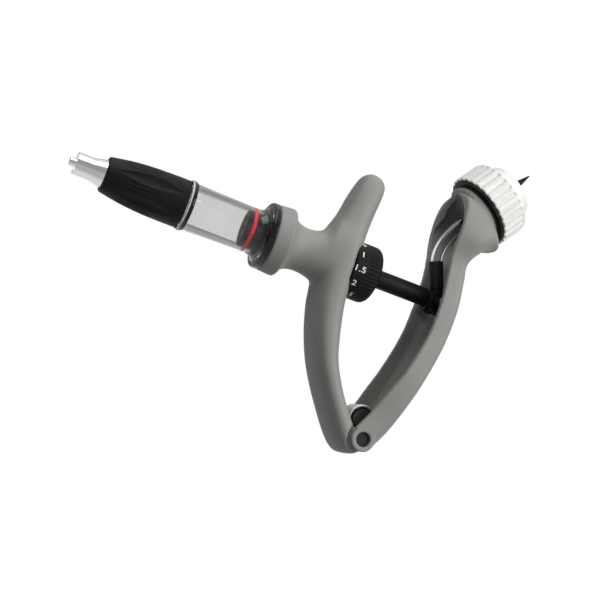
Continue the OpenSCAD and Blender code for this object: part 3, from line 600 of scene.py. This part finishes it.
@dataclass
class DosingBarrel:
    """Clear barrel with its rings, piston and rod."""

    neck_x: float = 24.8
    front: float = 54.7
    chamber: float = 56.7
    seat: float = 97.0
    bore: float = 9.0
    front_r: float = 11.1
    rear_r: float = 10.6
    foot_r: float = 14.5
    collar_r: float = 16.0
    piston_x: float = 84.7
    piston_len: float = 13.0
    rod_r: float = 4.5
    rod_end: float = 182.0
    # Start and end of the flange's painted highlight band, measured from the flange's front face
    highlight_band: Point = (0.3, 1.05)
    flange: float = 0.7
    neck_r: float = 8.0
    neck_bore: float = 5.5
    port: float = 1.6
    spigot: Point = (7.0, 11.0)
    groove: float = 2.7
    groove_r: float = 7.1
    ring_half: float = 0.9
    socket: float = 9.8
    socket_r: float = 2.8
    rod_head: tuple[Point, ...] = ((0, 1.65), (2, 1.65), (2, 2.4), (3.6, 2.4), (3.6, 1.1))
    band: tuple[Point, ...] = (
        (0, 0), (0, 0.68), (-0.95, 0.68), (-0.95, 0.85), (-0.15, 0.85), (0.05, 0.35), (0.3, 0.3), (0.4, 0.45),
        (0.8, 0.4), (0.9, 0),
    )

    def build(self) -> None:
        """Build the barrel, its rings, the piston and the rod."""
        self.barrel()
        self.rings()
        self.piston()
        self.rod()

    def barrel(self) -> None:
        """Turn the clear barrel with its flange, flare and spigot, and give the flange a painted highlight band."""
        flare = self.seat - 8.5
        curve = [
            (flare + 5.5 * sin(a), self.rear_r + (self.foot_r - self.rear_r) * (1 - cos(a)))
            for a in arc(10, 9)
        ]
        rim = self.front_r + self.flange
        highlight_from, clear = (self.front + x for x in self.highlight_band)
        end, spigot = self.seat + self.spigot[0], self.spigot[1]
        outline = [
            (self.neck_x, self.neck_bore), (self.neck_x, self.neck_r), (self.front, self.neck_r), (self.front, rim),
            (highlight_from, rim), (clear, rim), (self.chamber, rim), (self.chamber, self.front_r), *curve,
            (self.seat - 3, self.foot_r), (self.seat, self.foot_r), (self.seat, spigot), (end, spigot),
            (end, self.bore), (self.chamber, self.bore), (self.chamber, self.port),
            (self.chamber - 3, self.port), (self.chamber - 3, self.neck_bore),
        ]
        form = Form().turn(outline, 160).bevel(0.22, 3, 40)
        piece = form.piece("dosing_barrel", CLEAR_POLYCARBONATE, "clear_plastic", Body.GRIP, ["barrel"])
        # Lamp light reaches the piston through the clear wall
        piece.visible_shadow = False
        # Painted highlight: a band of the flange gets a near-white, part-clear finish
        piece.data.materials.append(PAINTED_HIGHLIGHT_POLYCARBONATE.material())
        for face in piece.data.polygons:
            middle = face.center / MM
            if highlight_from < middle.x < clear and hypot(middle.y, middle.z) > self.front_r + 0.1:
                face.material_index = 1

    def rings(self) -> None:
        """Turn the ring behind the flange and the ring in front of the grip's collar."""
        inner = self.front_r + 0.05
        start = self.chamber + 0.02
        form = Form().turn([(start + x, inner + r) for x, r in self.band])
        form.piece("flange_band", GLOSS_BLACK, "gloss_black", Body.GRIP, ["flange_ring"], 30)
        inner = self.foot_r + 0.05
        start = self.seat - 3
        Form().turn(
            [(start, inner), (start, self.collar_r - 0.6), (start + 0.6, self.collar_r - 0.05)]
            + [(self.seat, self.collar_r), (self.seat, inner)]
        ).bevel(0.3, 4).piece("seat_band", GLOSS_BLACK, "gloss_black", Body.GRIP, ["barrel_seat_ring"], 60)

    def piston(self) -> None:
        """Turn the piston and its red ring."""
        start, end = self.piston_x, self.piston_x + self.piston_len
        skirt = self.bore - 0.3
        ring = start + self.groove
        face = start - 0.8
        side = self.ring_half + 0.05
        deep = start + self.socket
        outline = [
            (face, 1.0), (face, skirt), (ring - side, skirt), (ring - side, self.groove_r),
            (ring + side, self.groove_r), (ring + side, skirt), (end, skirt), (end, self.rod_r),
            (deep, self.rod_r), (deep, self.socket_r), (start + 1.6, self.socket_r), (start + 1.6, 1.0),
        ]
        Form().turn(outline).bevel(0.25).piece("piston_body", BLACK_ACETAL, "black_plastic", Body.PLUNGER, ["piston"])
        # The ring reaches just into the wall, so that it is seen in contact through the clear plastic
        low, high = ring - self.ring_half, ring + self.ring_half
        inner, outer = self.groove_r + 0.1, self.bore + 0.02
        form = Form().turn([(low, inner), (low, outer), (high, outer), (high, inner)]).bevel(0.25)
        form.piece("red_ring", RED_SILICONE, "red_rubber", Body.PLUNGER, ["piston_o_ring"])

    def rod(self) -> None:
        """Turn the hollow rod with its head."""
        start = self.piston_x + self.socket
        head = [(self.rod_end + x, r) for x, r in self.rod_head]
        outline = [(start, 1.6), (start, self.rod_r), (self.rod_end, self.rod_r), *head]
        outline += [(start + 3, head[-1][1]), (start + 3, 1.6)]
        Form().turn(outline, 96).bevel(0.2).piece("rod", BLACK_ACETAL, "black_plastic", Body.PLUNGER, ["piston_rod"])


@dataclass
class FrontGrip:
    """Grey grip with the barrel's collar, the thumb horn and the finger grip down to the hinge.

    A station is the distance behind the collar's face, the height, the section's slope, and half its
    thickness and width.
    """

    x: float = 97.0
    collar: float = 16.0
    collar_len: float = 8.4
    neck: float = 10.5
    hub: float = 13.3
    hub_x: float = 41.0
    bore: float = 6.5
    ear: float = 5.8
    square: float = 0.8
    voxel: float = 0.55
    barrel_seat: Point = (7.2, 11.05)
    wheel_room: Point = (56, 14.2)
    pocket: Point = (7.5, 7.3)
    recess: Station = (10.9, 11.5, 7.7)
    pin: float = 2.15
    flare: tuple[Station, ...] = (
        (17.6, 10, -10, 10), (19.6, 10.8, -10.8, 10.8), (22, 11.2, -10.9, 11), (25, 12.6, -11.1, 11.5),
        (27, 15, -11.6, 12.3), (28.6, 19.5, -13, 13), (30.4, 23, -15.5, 13.1), (34.4, 23.5, -16.5, 12.5),
    )
    stations: tuple[Station, ...] = (
        (42.4, 46.7, -10, 0.8, 1), (42.3, 45.8, -10, 3.6, 4), (41.8, 42.8, -10, 6.2, 6.6),
        (40.6, 37, -10, 7.2, 8.2), (39, 29, -9, 7.7, 9), (37.4, 19, -7, 8.2, 10.6), (36.3, 8, -3, 8.5, 13.8),
        (36, -4, 0, 8.3, 14), (36.6, -17, 5, 7.9, 13.9), (38.3, -27, 11, 7.5, 13.8),
        (40.7, -36.6, 17, 6.9, 13.8), (44, -46.3, 23, 6.1, 13.8), (49, -55.9, 29, 5.7, 13.8),
        (54.9, -65, 34, 5.5, 13.8), (61.1, -73.3, 38, 5.7, 13.8), (65.8, -78.6, 40, 5.6, 13.4),
        (68.4, -81.4, 42, 4.2, 12.4), (69.8, -82.8, 42, 1.8, 11),
    )

    def build(self) -> None:
        """Join the lofted body, the hub and the lugs, cut the bores and soften the skin."""
        sides = 56
        body = Form().sweep([self.ring(s, sides) for s in through(self.stations, 5)])
        knuckle = cross_bar(HINGE, self.recess[1], self.ear)
        flare = Form().sweep([self.flare_ring(s, sides) for s in through(self.flare, 4)])
        body.combine([self.turned_hub(), flare, knuckle], "UNION").combine(self.cuts(), "DIFFERENCE")
        body.remesh(self.voxel).soften(4).soften(60, self.junction)
        body.piece("grip_body", GREY_NYLON, "grip_plastic", Body.GRIP, ["front_grip"], 60)

    def ring(self, station: Station, sides: int) -> list[Vector]:
        """Give the points of one section."""
        x, z, slope, thick, wide = station
        lean = radians(slope)
        points = []
        for k in range(sides):
            c, s = cos(TURN * k / sides), sin(TURN * k / sides)
            along = thick * copysign(abs(c) ** self.square, c)
            across = wide * copysign(abs(s) ** self.square, s)
            points.append(Vector((self.x + x + along * cos(lean), across, z + along * sin(lean))))
        return points

    def flare_ring(self, station: Station, sides: int) -> list[Vector]:
        """Give the points of one section of the neck's sweep into the body."""
        x, top, bottom, wide = station
        middle, tall = (top + bottom) / 2, (top - bottom) / 2
        angles = [TURN * k / sides for k in range(sides)]
        return [Vector((self.x + x, -wide * sin(a), middle + tall * cos(a))) for a in angles]

    def turned_hub(self) -> Form:
        """Turn the collar, the neck and the hub in front of the dose wheel."""
        rear = self.collar_len
        sweep_in = [
            (rear + 9 * (1 - cos(a)), self.neck + (self.collar + 0.4 - self.neck) * (1 - sin(a)))
            for a in arc(10, 9)
        ]
        outline = [(0, self.bore), (0, self.collar - 0.3), (0.5, self.collar), (rear - 0.6, self.collar + 0.6)]
        outline += [*sweep_in, (rear + 12.1, self.neck), (self.hub_x - 10, self.hub), (self.hub_x, self.hub)]
        outline += [(self.hub_x, self.bore)]
        return Form().turn([(self.x + x, r) for x, r in outline], 96)

    def cuts(self) -> list[Form]:
        """Give the bores, the wheel's room, the spring's pocket and the recesses beside the ears."""
        bores = [(-1, *self.barrel_seat), (0, self.hub_x + 20, self.bore), (self.hub_x, *self.wheel_room)]
        half, pocket = self.pocket
        shallow, deep, wide = self.recess
        outline = [(shallow, self.ear), (shallow, wide), (30, wide), (30, 0.01), (deep, 0.01), (deep, self.ear)]
        return [
            *(Form().bar(Vector((self.x + a, 0, 0)), Vector((self.x + b, 0, 0)), r) for a, b, r in bores),
            cross_bar(COIL, half, pocket),
            Form().block(COIL - Vector((0, half, pocket)), COIL + Vector((40, half, 7))),
            *(
                Form().turn(outline).place(Matrix.Translation(HINGE) @ Matrix.Rotation(side * pi / 2, 4, "Z"))
                for side in (1, -1)
            ),
            cross_bar(HINGE, 40, self.pin),
        ]

    def junction(self, point: Vector) -> bool:
        """Tell whether a point is where the neck flows into the body."""
        x = point.x - self.x
        return 15 < x < 38 and -20 < point.z < 30 and hypot(point.y, point.z) > 8


@dataclass
class DoseWheel:
    """Black wheel behind the grip with finger grooves and printed doses."""

    start: float = 138.3
    end: float = 152.7
    radius: float = 13.9
    bush: float = 6.55
    edge: float = 3.4
    grooves: int = 44
    groove_from: float = 143.8
    groove_half: float = 0.42
    groove_deep: float = 0.34
    ink: float = 0.03
    text_height: float = 3.9
    text_x: float = 140.9
    text_from: float = 138.6
    text_room: float = 5.2
    stretch: float = 1.22
    first_angle: float = 55.0
    places: int = 12

    def build(self) -> None:
        """Build the wheel and print its numbers."""
        rim = rounding(self.end, self.radius, self.edge, self.edge, arc(10, 10))
        low = self.start + 0.5
        side = [(low + (self.end - self.edge - low) * k / 14, self.radius) for k in range(14)]
        outline = [
            (self.start, self.bush), (self.start, self.radius - 0.5), (self.start + 0.12, self.radius - 0.15),
            *side, *rim, (self.end, 8.3), (self.end - 1.8, 8.3), (self.end - 1.8, self.bush),
        ]
        wheel = Form().turn(outline, 704).press(self.groove)
        wheel.piece("wheel", BLACK_ACETAL, "black_plastic", Body.WHEEL, ["dose_wheel"], 40)
        for k in range(10):
            self.number(k)

    def groove(self, x: float, radius: float, angle: float) -> float:
        """Give the depth of the finger grooves at a point of the wheel."""
        if radius < 9.5:
            return 0.0
        off = abs(off_line(angle, self.grooves)) * self.radius
        across = max(0.0, 1 - (off / self.groove_half) ** 2)
        return self.groove_deep * smooth_step((x - self.groove_from) / 0.6) * across

    def number(self, k: int) -> None:
        """Print one dose on the wheel's front half."""
        dose = (k + 1) / 2
        text = bpy.data.curves.new("dose", "FONT")
        text.body = f"{dose:g}".removeprefix("0")
        text.size = self.text_height
        text.align_x = "CENTER"
        text.align_y = "CENTER"
        text.offset = 0.07
        text.space_character = 1.1
        form = Form().load(put("dose", text))
        bpy.data.curves.remove(text)
        bmesh.ops.remove_doubles(form.bm, verts=form.bm.verts[:], dist=1e-4)
        for level in range(-4, 5):
            geom = form.bm.verts[:] + form.bm.edges[:] + form.bm.faces[:]
            bmesh.ops.bisect_plane(form.bm, geom=geom, plane_co=(0, level * 0.5, 0), plane_no=(0, 1, 0))
        along = [vert.co.x for vert in form.bm.verts]
        stretch = min(self.stretch, self.text_room / (max(along) - min(along)))
        middle = max(self.text_x, self.text_from - stretch * min(along))
        at = radians(self.first_angle - 360 * k / self.places)
        for vert in form.bm.verts:
            angle = at + vert.co.y / self.radius
            rise = self.radius + self.ink
            vert.co = Vector((middle + stretch * vert.co.x, -rise * cos(angle), rise * sin(angle)))
        form.piece(f"dose_{k + 1}", WHITE_INK, "white_plastic", Body.WHEEL)


@dataclass
class RearLever:
    """Grey channel-shaped lever from the hinge up to the bottle socket.

    A station is the front edge's place behind and above the hinge, the section's slope, depth and half
    width, how far its front closes and how round its back is.
    """

    pivot: Vector = Vector((187.4, 0, -1.342))
    wall: float = 2.6
    ear: Station = (11.8, 14.4, 5.8)
    boss: Station = (12.4, 16.4, 3.0)
    pivot_hole: Point = (15.8, 1.85)
    pin_hole: float = 3.5
    lug_room: float = 6.1
    socket: float = 15.3
    hose_hole: float = 2.85
    rib: Vector = Vector((192.2, 0, -14.3))
    rib_r: float = 1.2
    seam_r: float = 1.3
    voxel: float = 0.45
    corner: float = 0.2
    stations: tuple[Station, ...] = (
        (-5, 4.2, 22, 14.4, 14.4, 0, 2.8), (0.7, 14.8, 29, 14.4, 15, 0, 2.8),
        (5.4, 26, 27, 13.9, 16.6, 0, 2.8), (10.3, 38, 22, 12.6, 17.7, 0, 2.8),
        (15.2, 56, 12, 11.8, 17.6, 0, 2.8), (16.9, 73, 3, 11.8, 17, 0, 2.8), (16.7, 87, -2, 11.3, 15.6, 0, 2.8),
        (15.7, 97, 3, 12, 15.5, 0, 2.6), (15.2, 109, 14, 18.4, 18.6, 0, 2.5), (15, 118, 22.5, 25.6, 18.7, 0.15, 2.4),
        (15, 122.8, 27.5, 30, 17.8, 0.32, 2.3), (14.9, 126, 30.5, 31.6, 16.7, 0.45, 2.2),
        (14.85, 128, 32, 32.3, 16.1, 0.6, 2.1), (14.8, 129.3, 33, 32.4, 15.8, 0.78, 2.1),
        (14.7, 130.1, 33.8, 32.4, 15.6, 0.95, 2.1), (13.9, 133.2, 37.5, 31.4, 15.3, 0.96, 2),
    )

    def build(self) -> None:
        """Join the channel, the ears, the bosses and the socket, cut the holes and soften the skin."""
        body = Form().sweep([self.ring(s, 16) for s in through(self.stations, 6)])
        bmesh.ops.triangulate(body.bm, faces=[f for f in body.bm.faces if len(f.verts) > 4])
        added = [
            *both_sides(HINGE, *self.ear),
            *both_sides(self.pivot, *self.boss),
            Form().bar(CAP_AT - 5 * CAP_OUT, CAP_AT - 1.5 * CAP_OUT, self.socket, sides=128),
            Form().bar(self.seam(-2), self.seam(-1), self.seam_r),
            cross_bar(self.rib, 12, self.rib_r),
        ]
        holes = [
            *both_sides(self.pivot, 0, *self.pivot_hole),
            cross_bar(HINGE, 40, self.pin_hole),
            cross_bar(HINGE, self.ear[0], self.lug_room),
            Form().bar(CAP_AT - 8 * CAP_OUT, CAP_AT, self.hose_hole),
        ]
        body.combine(added, "UNION").combine(holes, "DIFFERENCE")
        body.remesh(self.voxel).soften(2)
        body.piece("lever_body", GREY_NYLON, "grip_plastic", Body.LEVER, ["rear_lever"], 60)

    def seam(self, index: int) -> Vector:
        """Give a point of the seam where the channel's edges meet, at one of the last stations."""
        x, z, slope = self.stations[index][:3]
        lean = radians(slope)
        return HINGE + Vector((x + self.seam_r * cos(lean), 0, z - self.seam_r * sin(lean)))

    def half(self, wide: float, front: float, depth: float, station: Station, steps: int) -> list[Point]:
        """Give half of a section's curve, from the front edge to the back."""
        close, round_back = station[5:7]
        corner = self.corner + (1 - self.corner) * smooth_step((close - 0.3) / 0.66)
        back = 2 / round_back
        reach = (depth - front) / 2
        angles = [pi / 2 * i / steps for i in range(steps + 1)]
        near = [(1 - close + close * sin(a) ** corner, 1 - max(cos(a), 0.0) ** corner) for a in angles]
        far = [(max(cos(a), 0.0) ** back, 1 + sin(a) ** back) for a in angles[1:]]
        return [(wide * across, front + reach * along) for across, along in near + far]

    def ring(self, station: Station, steps: int) -> list[Vector]:
        """Give the points of one section, out along its outside and back along its inside."""
        x, z, slope, depth, wide, close, _ = station
        lean = radians(slope)
        outer = self.half(wide, 0, depth, station, steps)
        lip = self.wall * min(1.0, 5 * close)
        inner = self.half(wide - self.wall, lip, depth - self.wall, station, steps)
        loop = [*outer, *((-w, d) for w, d in outer[-2::-1]), *((-w, d) for w, d in inner), *inner[-2::-1]]
        return [HINGE + Vector((x + d * cos(lean), w, z - d * sin(lean))) for w, d in loop]


@dataclass
class ReturnSpring:
    """Torsion spring above the hinge, in two pieces: the coil with its tail, and the leg."""

    radius: float = 6.3
    wire: float = 0.7
    half: float = 6.2
    turns: int = 8
    leg_turn: float = 37.0
    leg: float = 8.0
    tail: float = 11.4

    def build(self) -> None:
        """Wind the coil, then add its tail and its leg."""
        angle = radians(360 * self.turns + self.leg_turn)
        steps = 40 * self.turns + 4
        foot = COIL + Vector((0, -self.half, -self.radius))
        form = Form()
        ring = bmesh.ops.create_circle(
            form.bm, segments=16, radius=self.wire,
            matrix=Matrix.Translation(foot) @ Matrix.Rotation(pi / 2, 4, "Y"),
        )["verts"]
        edges = list({e for v in ring for e in v.link_edges})
        bmesh.ops.spin(
            form.bm, geom=[*ring, *edges], cent=COIL, axis=(0, -1, 0), angle=angle, steps=steps,
            dvec=(0, 2 * self.half / steps, 0),
        )
        bmesh.ops.holes_fill(form.bm, edges=form.bm.edges[:], sides=16)
        form.bar(foot, foot - Vector((self.tail, 0, 0)), self.wire, sides=24)
        form.weld().piece("spring_coil", SPRING_STEEL, "steel", Body.GRIP, ["return_spring"], 50)
        at = radians(self.leg_turn - 90)
        start = COIL + Vector((self.radius * cos(at), self.half, self.radius * sin(at)))
        end = start + self.leg * leaning(90 - self.leg_turn)
        leg = Form().bar(start, end, self.wire, sides=24)
        bmesh.ops.subdivide_edges(
            leg.bm, edges=[e for e in leg.bm.edges if e.calc_length() > self.leg / 2], cuts=8, use_grid_fill=True
        )
        piece = leg.piece("spring_leg", SPRING_STEEL, "steel", None, sharp=50)
        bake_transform(piece)


@dataclass
class HoseLine:
    """Black sleeve on the elbow and the clear hose up to the spike."""

    foot: Vector = Vector((187.7, 0, 2.058))
    lean: float = 19.0
    rise: float = 4.45
    sleeve_len: float = 13.0
    sleeve_r: float = 3.6
    hose_r: float = 2.9
    bore_r: float = 1.8
    below_cap: float = 5.4
    held: float = 6.0
    pulls: Point = (6.0, 9.0)

    def build(self) -> None:
        """Build the sleeve and the hose."""
        along = leaning(-self.lean)
        low = self.foot + self.rise * along
        top = low + self.sleeve_len * along
        end = CAP_AT - self.below_cap * CAP_OUT
        free = end - self.held * CAP_OUT
        inner = self.hose_r + 0.05
        sleeve = Form().turn(
            [(0, inner), (0, self.sleeve_r), (self.sleeve_len, self.sleeve_r), (self.sleeve_len, inner)], 64
        ).bevel(0.25).place(facing(low, along))
        sleeve.piece("sleeve", BLACK_NITRILE, "black_rubber", Body.ELBOW, ["hose_sleeve"])
        knots = [top, top + self.pulls[0] * along, free - self.pulls[1] * CAP_OUT, free]
        curve = []
        for t in [i / 28 for i in range(29)]:
            weights = ((1 - t) ** 3, 3 * t * (1 - t) ** 2, 3 * t * t * (1 - t), t**3)
            curve.append(sum((w * p for w, p in zip(weights, knots)), Vector()))
        path = [low.lerp(top, i / 8) for i in range(8)] + curve + [free.lerp(end, i / 4) for i in range(1, 5)]
        outside, inside = (tube_rings(path, radius, 40) for radius in (self.hose_r, self.bore_r))
        form = Form().sweep([*outside, *reversed(inside), outside[0]], filled=False).weld()
        hose = form.piece("hose_tube", CLEAR_VINYL, "clear_hose", None, ["hose"], 50)
        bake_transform(hose)


@dataclass
class BottleHolder:
    """White knurled cap that takes the bottle, and the spike in its middle."""

    skirt: float = 19.3
    skirt_len: float = 14.2
    skirt_bore: float = 18.1
    rim: float = -0.1
    sleeve: float = 13.8
    bore: float = 10.3
    length: float = 20.6
    floor: Point = (3.2, 4.6)
    grooves: int = 28
    groove_half: float = 1.55
    groove_deep: float = 0.95
    point: Point = (21.5, 34.3)
    spike: float = 2.6
    crown: Point = (2.0, 1.8)
    shoulder: Point = (2.2, 2.2)
    foot: tuple[Point, ...] = ((0, 2.0), (0.15, 1.2), (0.7, 0.8))

    def build(self) -> None:
        """Turn the cap, press its knurl and turn the spike."""
        crown = rounding(self.length, self.sleeve, *self.crown, arc(15, 7))
        shoulder = rounding(self.skirt_len, self.skirt, *self.shoulder, arc(15, 7))
        low = self.rim + 0.3
        side = [(low + (self.skirt_len - 2.4 - low) * k / 40, self.skirt) for k in range(41)]
        foot = [(self.skirt_len + x, self.sleeve + r) for x, r in self.foot]
        upright = facing(CAP_AT, CAP_OUT)
        outline = [
            (self.rim, self.skirt_bore), (self.rim, self.skirt - 0.3), *side, *shoulder, *foot, *crown,
            (self.length, self.bore), (self.floor[1], self.bore), (self.floor[1], 8.3), (self.floor[0], 8.3),
            (self.floor[0], self.skirt_bore),
        ]
        cap = Form().turn(outline, 784).press(self.knurl).place(upright)
        cap.piece("cap", WHITE_POLYPROPYLENE, "white_plastic", Body.CAP, ["bottle_cap"], 60)
        outline = [
            (-11, 1), (-11, 1.6), (-5, 1.6), (-5, 2.8), (-2.4, 2.8), (-2.4, 8), (4.7, 8), (4.7, 10), (6.1, 10),
            (6.1, self.spike), (self.point[0], self.spike), (self.point[1] - 0.1, 0.3), (self.point[1], 0.15),
            (self.point[0], 0.15), (self.point[0], 1),
        ]
        spike = Form().turn(outline, 64).place(upright)
        spike.piece("spike", BLACK_ACETAL, "black_plastic", Body.LEVER, ["bottle_spike"])

    def knurl(self, x: float, radius: float, angle: float) -> float:
        """Give the depth of the knurl at a point of the cap."""
        if radius < self.skirt - 0.8 or x > self.skirt_len - 1:
            return 0.0
        off = abs(off_line(angle, self.grooves)) * self.skirt
        across = 0.5 + 0.5 * cos(pi * min(1.0, off / self.groove_half))
        return self.groove_deep * across * smooth_step((self.skirt_len - 1.4 - x) / 0.8)


def shown(tree: Tree, ray: bpy.types.NodeOutputs, clear: Any, shine: Socket) -> Socket:
    """Give a backdrop's strength: 1 to the camera, and as given through clear pieces and in reflections."""
    passed = ray["Is Transmission Ray"]
    # A ray through a slightly rough clear piece counts as glossy too
    mirrored = math_node(tree, "SUBTRACT", ray["Is Glossy Ray"], passed, clamp=True)
    bent = math_node(
        tree, "MAXIMUM", math_node(tree, "MULTIPLY", passed, clear), math_node(tree, "MULTIPLY", mirrored, shine)
    )
    return math_node(tree, "MAXIMUM", ray["Is Camera Ray"], bent)


@dataclass
class Studio:
    """Floor, light and camera."""

    floor_z: float = -0.165
    ambient: float = 0.22
    shine: Point = (0.42, 1.0)
    floor_shine: Point = (0.4, 0.88)
    dim: float = 0.25
    glow: Point = (0.88, 1.0)
    glow_span: Point = (0.3, 0.9)
    floor_span: Point = (-0.14, 0.0)
    dim_span: Point = (0.36, 0.54)
    shine_span: Point = (0.62, 0.82)
    target: Vector = Vector((0.12, 0, -0.015))
    focal_length: float = 75
    sensor: float = 36
    view: tuple[Station, ...] = (
        (0.8964, -0.3329, -0.2927, -0.0501), (-0.3262, -0.0483, -0.9441, -0.5543),
        (0.3002, 0.9417, -0.1518, -0.1118), (0, 0, 0, 1),
    )

    def build(self) -> None:
        """Set the stage round the object."""
        self.floor()
        self.world()
        self.lamp("key", Vector((0.82, -0.76, 0.3)), size=0.6, power=8.3)
        self.lamp("top", Vector((-0.2, -0.3, 0.8)), size=0.7, power=4.4)
        self.camera()

    def floor(self) -> None:
        """Lay a white floor that keeps the object's shadow."""
        form = Form()
        bmesh.ops.create_grid(form.bm, x_segments=1, y_segments=1, size=40)
        floor = form.place(Matrix.Translation((0, 0, self.floor_z))).as_object("floor")
        form.bm.free()
        paint = bpy.data.materials.new("white_floor_paint")
        tree = emptied(paint)
        place = add_node(tree, "ShaderNodeTexCoord", {}).outputs["Object"]
        far = add_node(tree, "ShaderNodeVectorMath", {0: place}, operation="LENGTH")
        glow = range_node(tree, far.outputs["Value"], self.glow_span, self.glow)
        behind = add_node(tree, "ShaderNodeSeparateXYZ", {"Vector": place}).outputs["Y"]
        shine = range_node(tree, behind, self.floor_span, self.floor_shine)
        ray = add_node(tree, "ShaderNodeLightPath", {}).outputs
        strength = math_node(tree, "MULTIPLY", glow, shown(tree, ray, self.dim, shine))
        shader = add_node(
            tree,
            "ShaderNodeBsdfPrincipled",
            {"Base Color": linear("#8c8c8c"), "Roughness": 0.9, "Emission Color": linear("#ffffff")}
            | {"Emission Strength": strength, "Specular IOR Level": 0.0},
        )
        add_node(tree, "ShaderNodeOutputMaterial", {"Surface": shader.outputs["BSDF"]})
        floor.data.materials.append(paint)

    def world(self) -> None:
        """Show white to the camera and through clear pieces, and light the object at an even level."""
        world = bpy.data.worlds.new("studio")
        tree = emptied(world)
        ray = add_node(tree, "ShaderNodeLightPath", {}).outputs
        way = add_node(tree, "ShaderNodeTexCoord", {}).outputs["Generated"]
        height = add_node(tree, "ShaderNodeSeparateXYZ", {"Vector": way}).outputs["Z"]
        clear = range_node(tree, height, self.dim_span, (1.0, self.dim))
        shine = range_node(tree, height, self.shine_span, self.shine)
        strength = math_node(tree, "MAXIMUM", shown(tree, ray, clear, shine), self.ambient)
        sky = add_node(tree, "ShaderNodeBackground", {"Color": linear("#ffffff"), "Strength": strength})
        add_node(tree, "ShaderNodeOutputWorld", {"Surface": sky.outputs["Background"]})
        bpy.context.scene.world = world

    def lamp(self, name: str, place: Vector, size: float, power: float) -> None:
        """Hang a square lamp that faces the object and doesn't show through its clear pieces."""
        light = bpy.data.lights.new(name, "AREA")
        light.size = size
        light.energy = power
        lamp = put(name, light)
        lamp.location = place
        lamp.visible_transmission = False
        lamp.rotation_euler = (self.target - place).to_track_quat("-Z", "Y").to_euler()

    def camera(self) -> None:
        """Put the camera where the photo was taken from."""
        lens = bpy.data.cameras.new("camera")
        lens.lens = self.focal_length
        lens.sensor_width = self.sensor
        lens.clip_start = 0.01
        camera = put("camera", lens)
        camera.matrix_world = Matrix(self.view)
        bpy.context.scene.camera = camera


def dress_nodes() -> None:
    """Give the frame's own pieces that stay their materials."""
    for finish, names in NODE_FINISHES.items():
        for name in names:
            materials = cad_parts[name].data.materials
            materials.clear()
            materials.append(finish.material())
            LOG.info("%s: %s", name, finish.name)


def main() -> None:
    """Build the looks of the whole object."""
    logging.basicConfig(level=logging.INFO, format="%(name)s: %(message)s")
    bpy.context.scene.view_settings.view_transform = "Standard"
    parts = (
        NeedleEnd(), DosingBarrel(), FrontGrip(), DoseWheel(), RearLever(), ReturnSpring(), HoseLine(),
        BottleHolder(), Studio(),
    )
    for part in parts:
        part.build()
        LOG.info("built %s", type(part).__name__)
    dress_nodes()


if __name__ == "__main__":
    main()
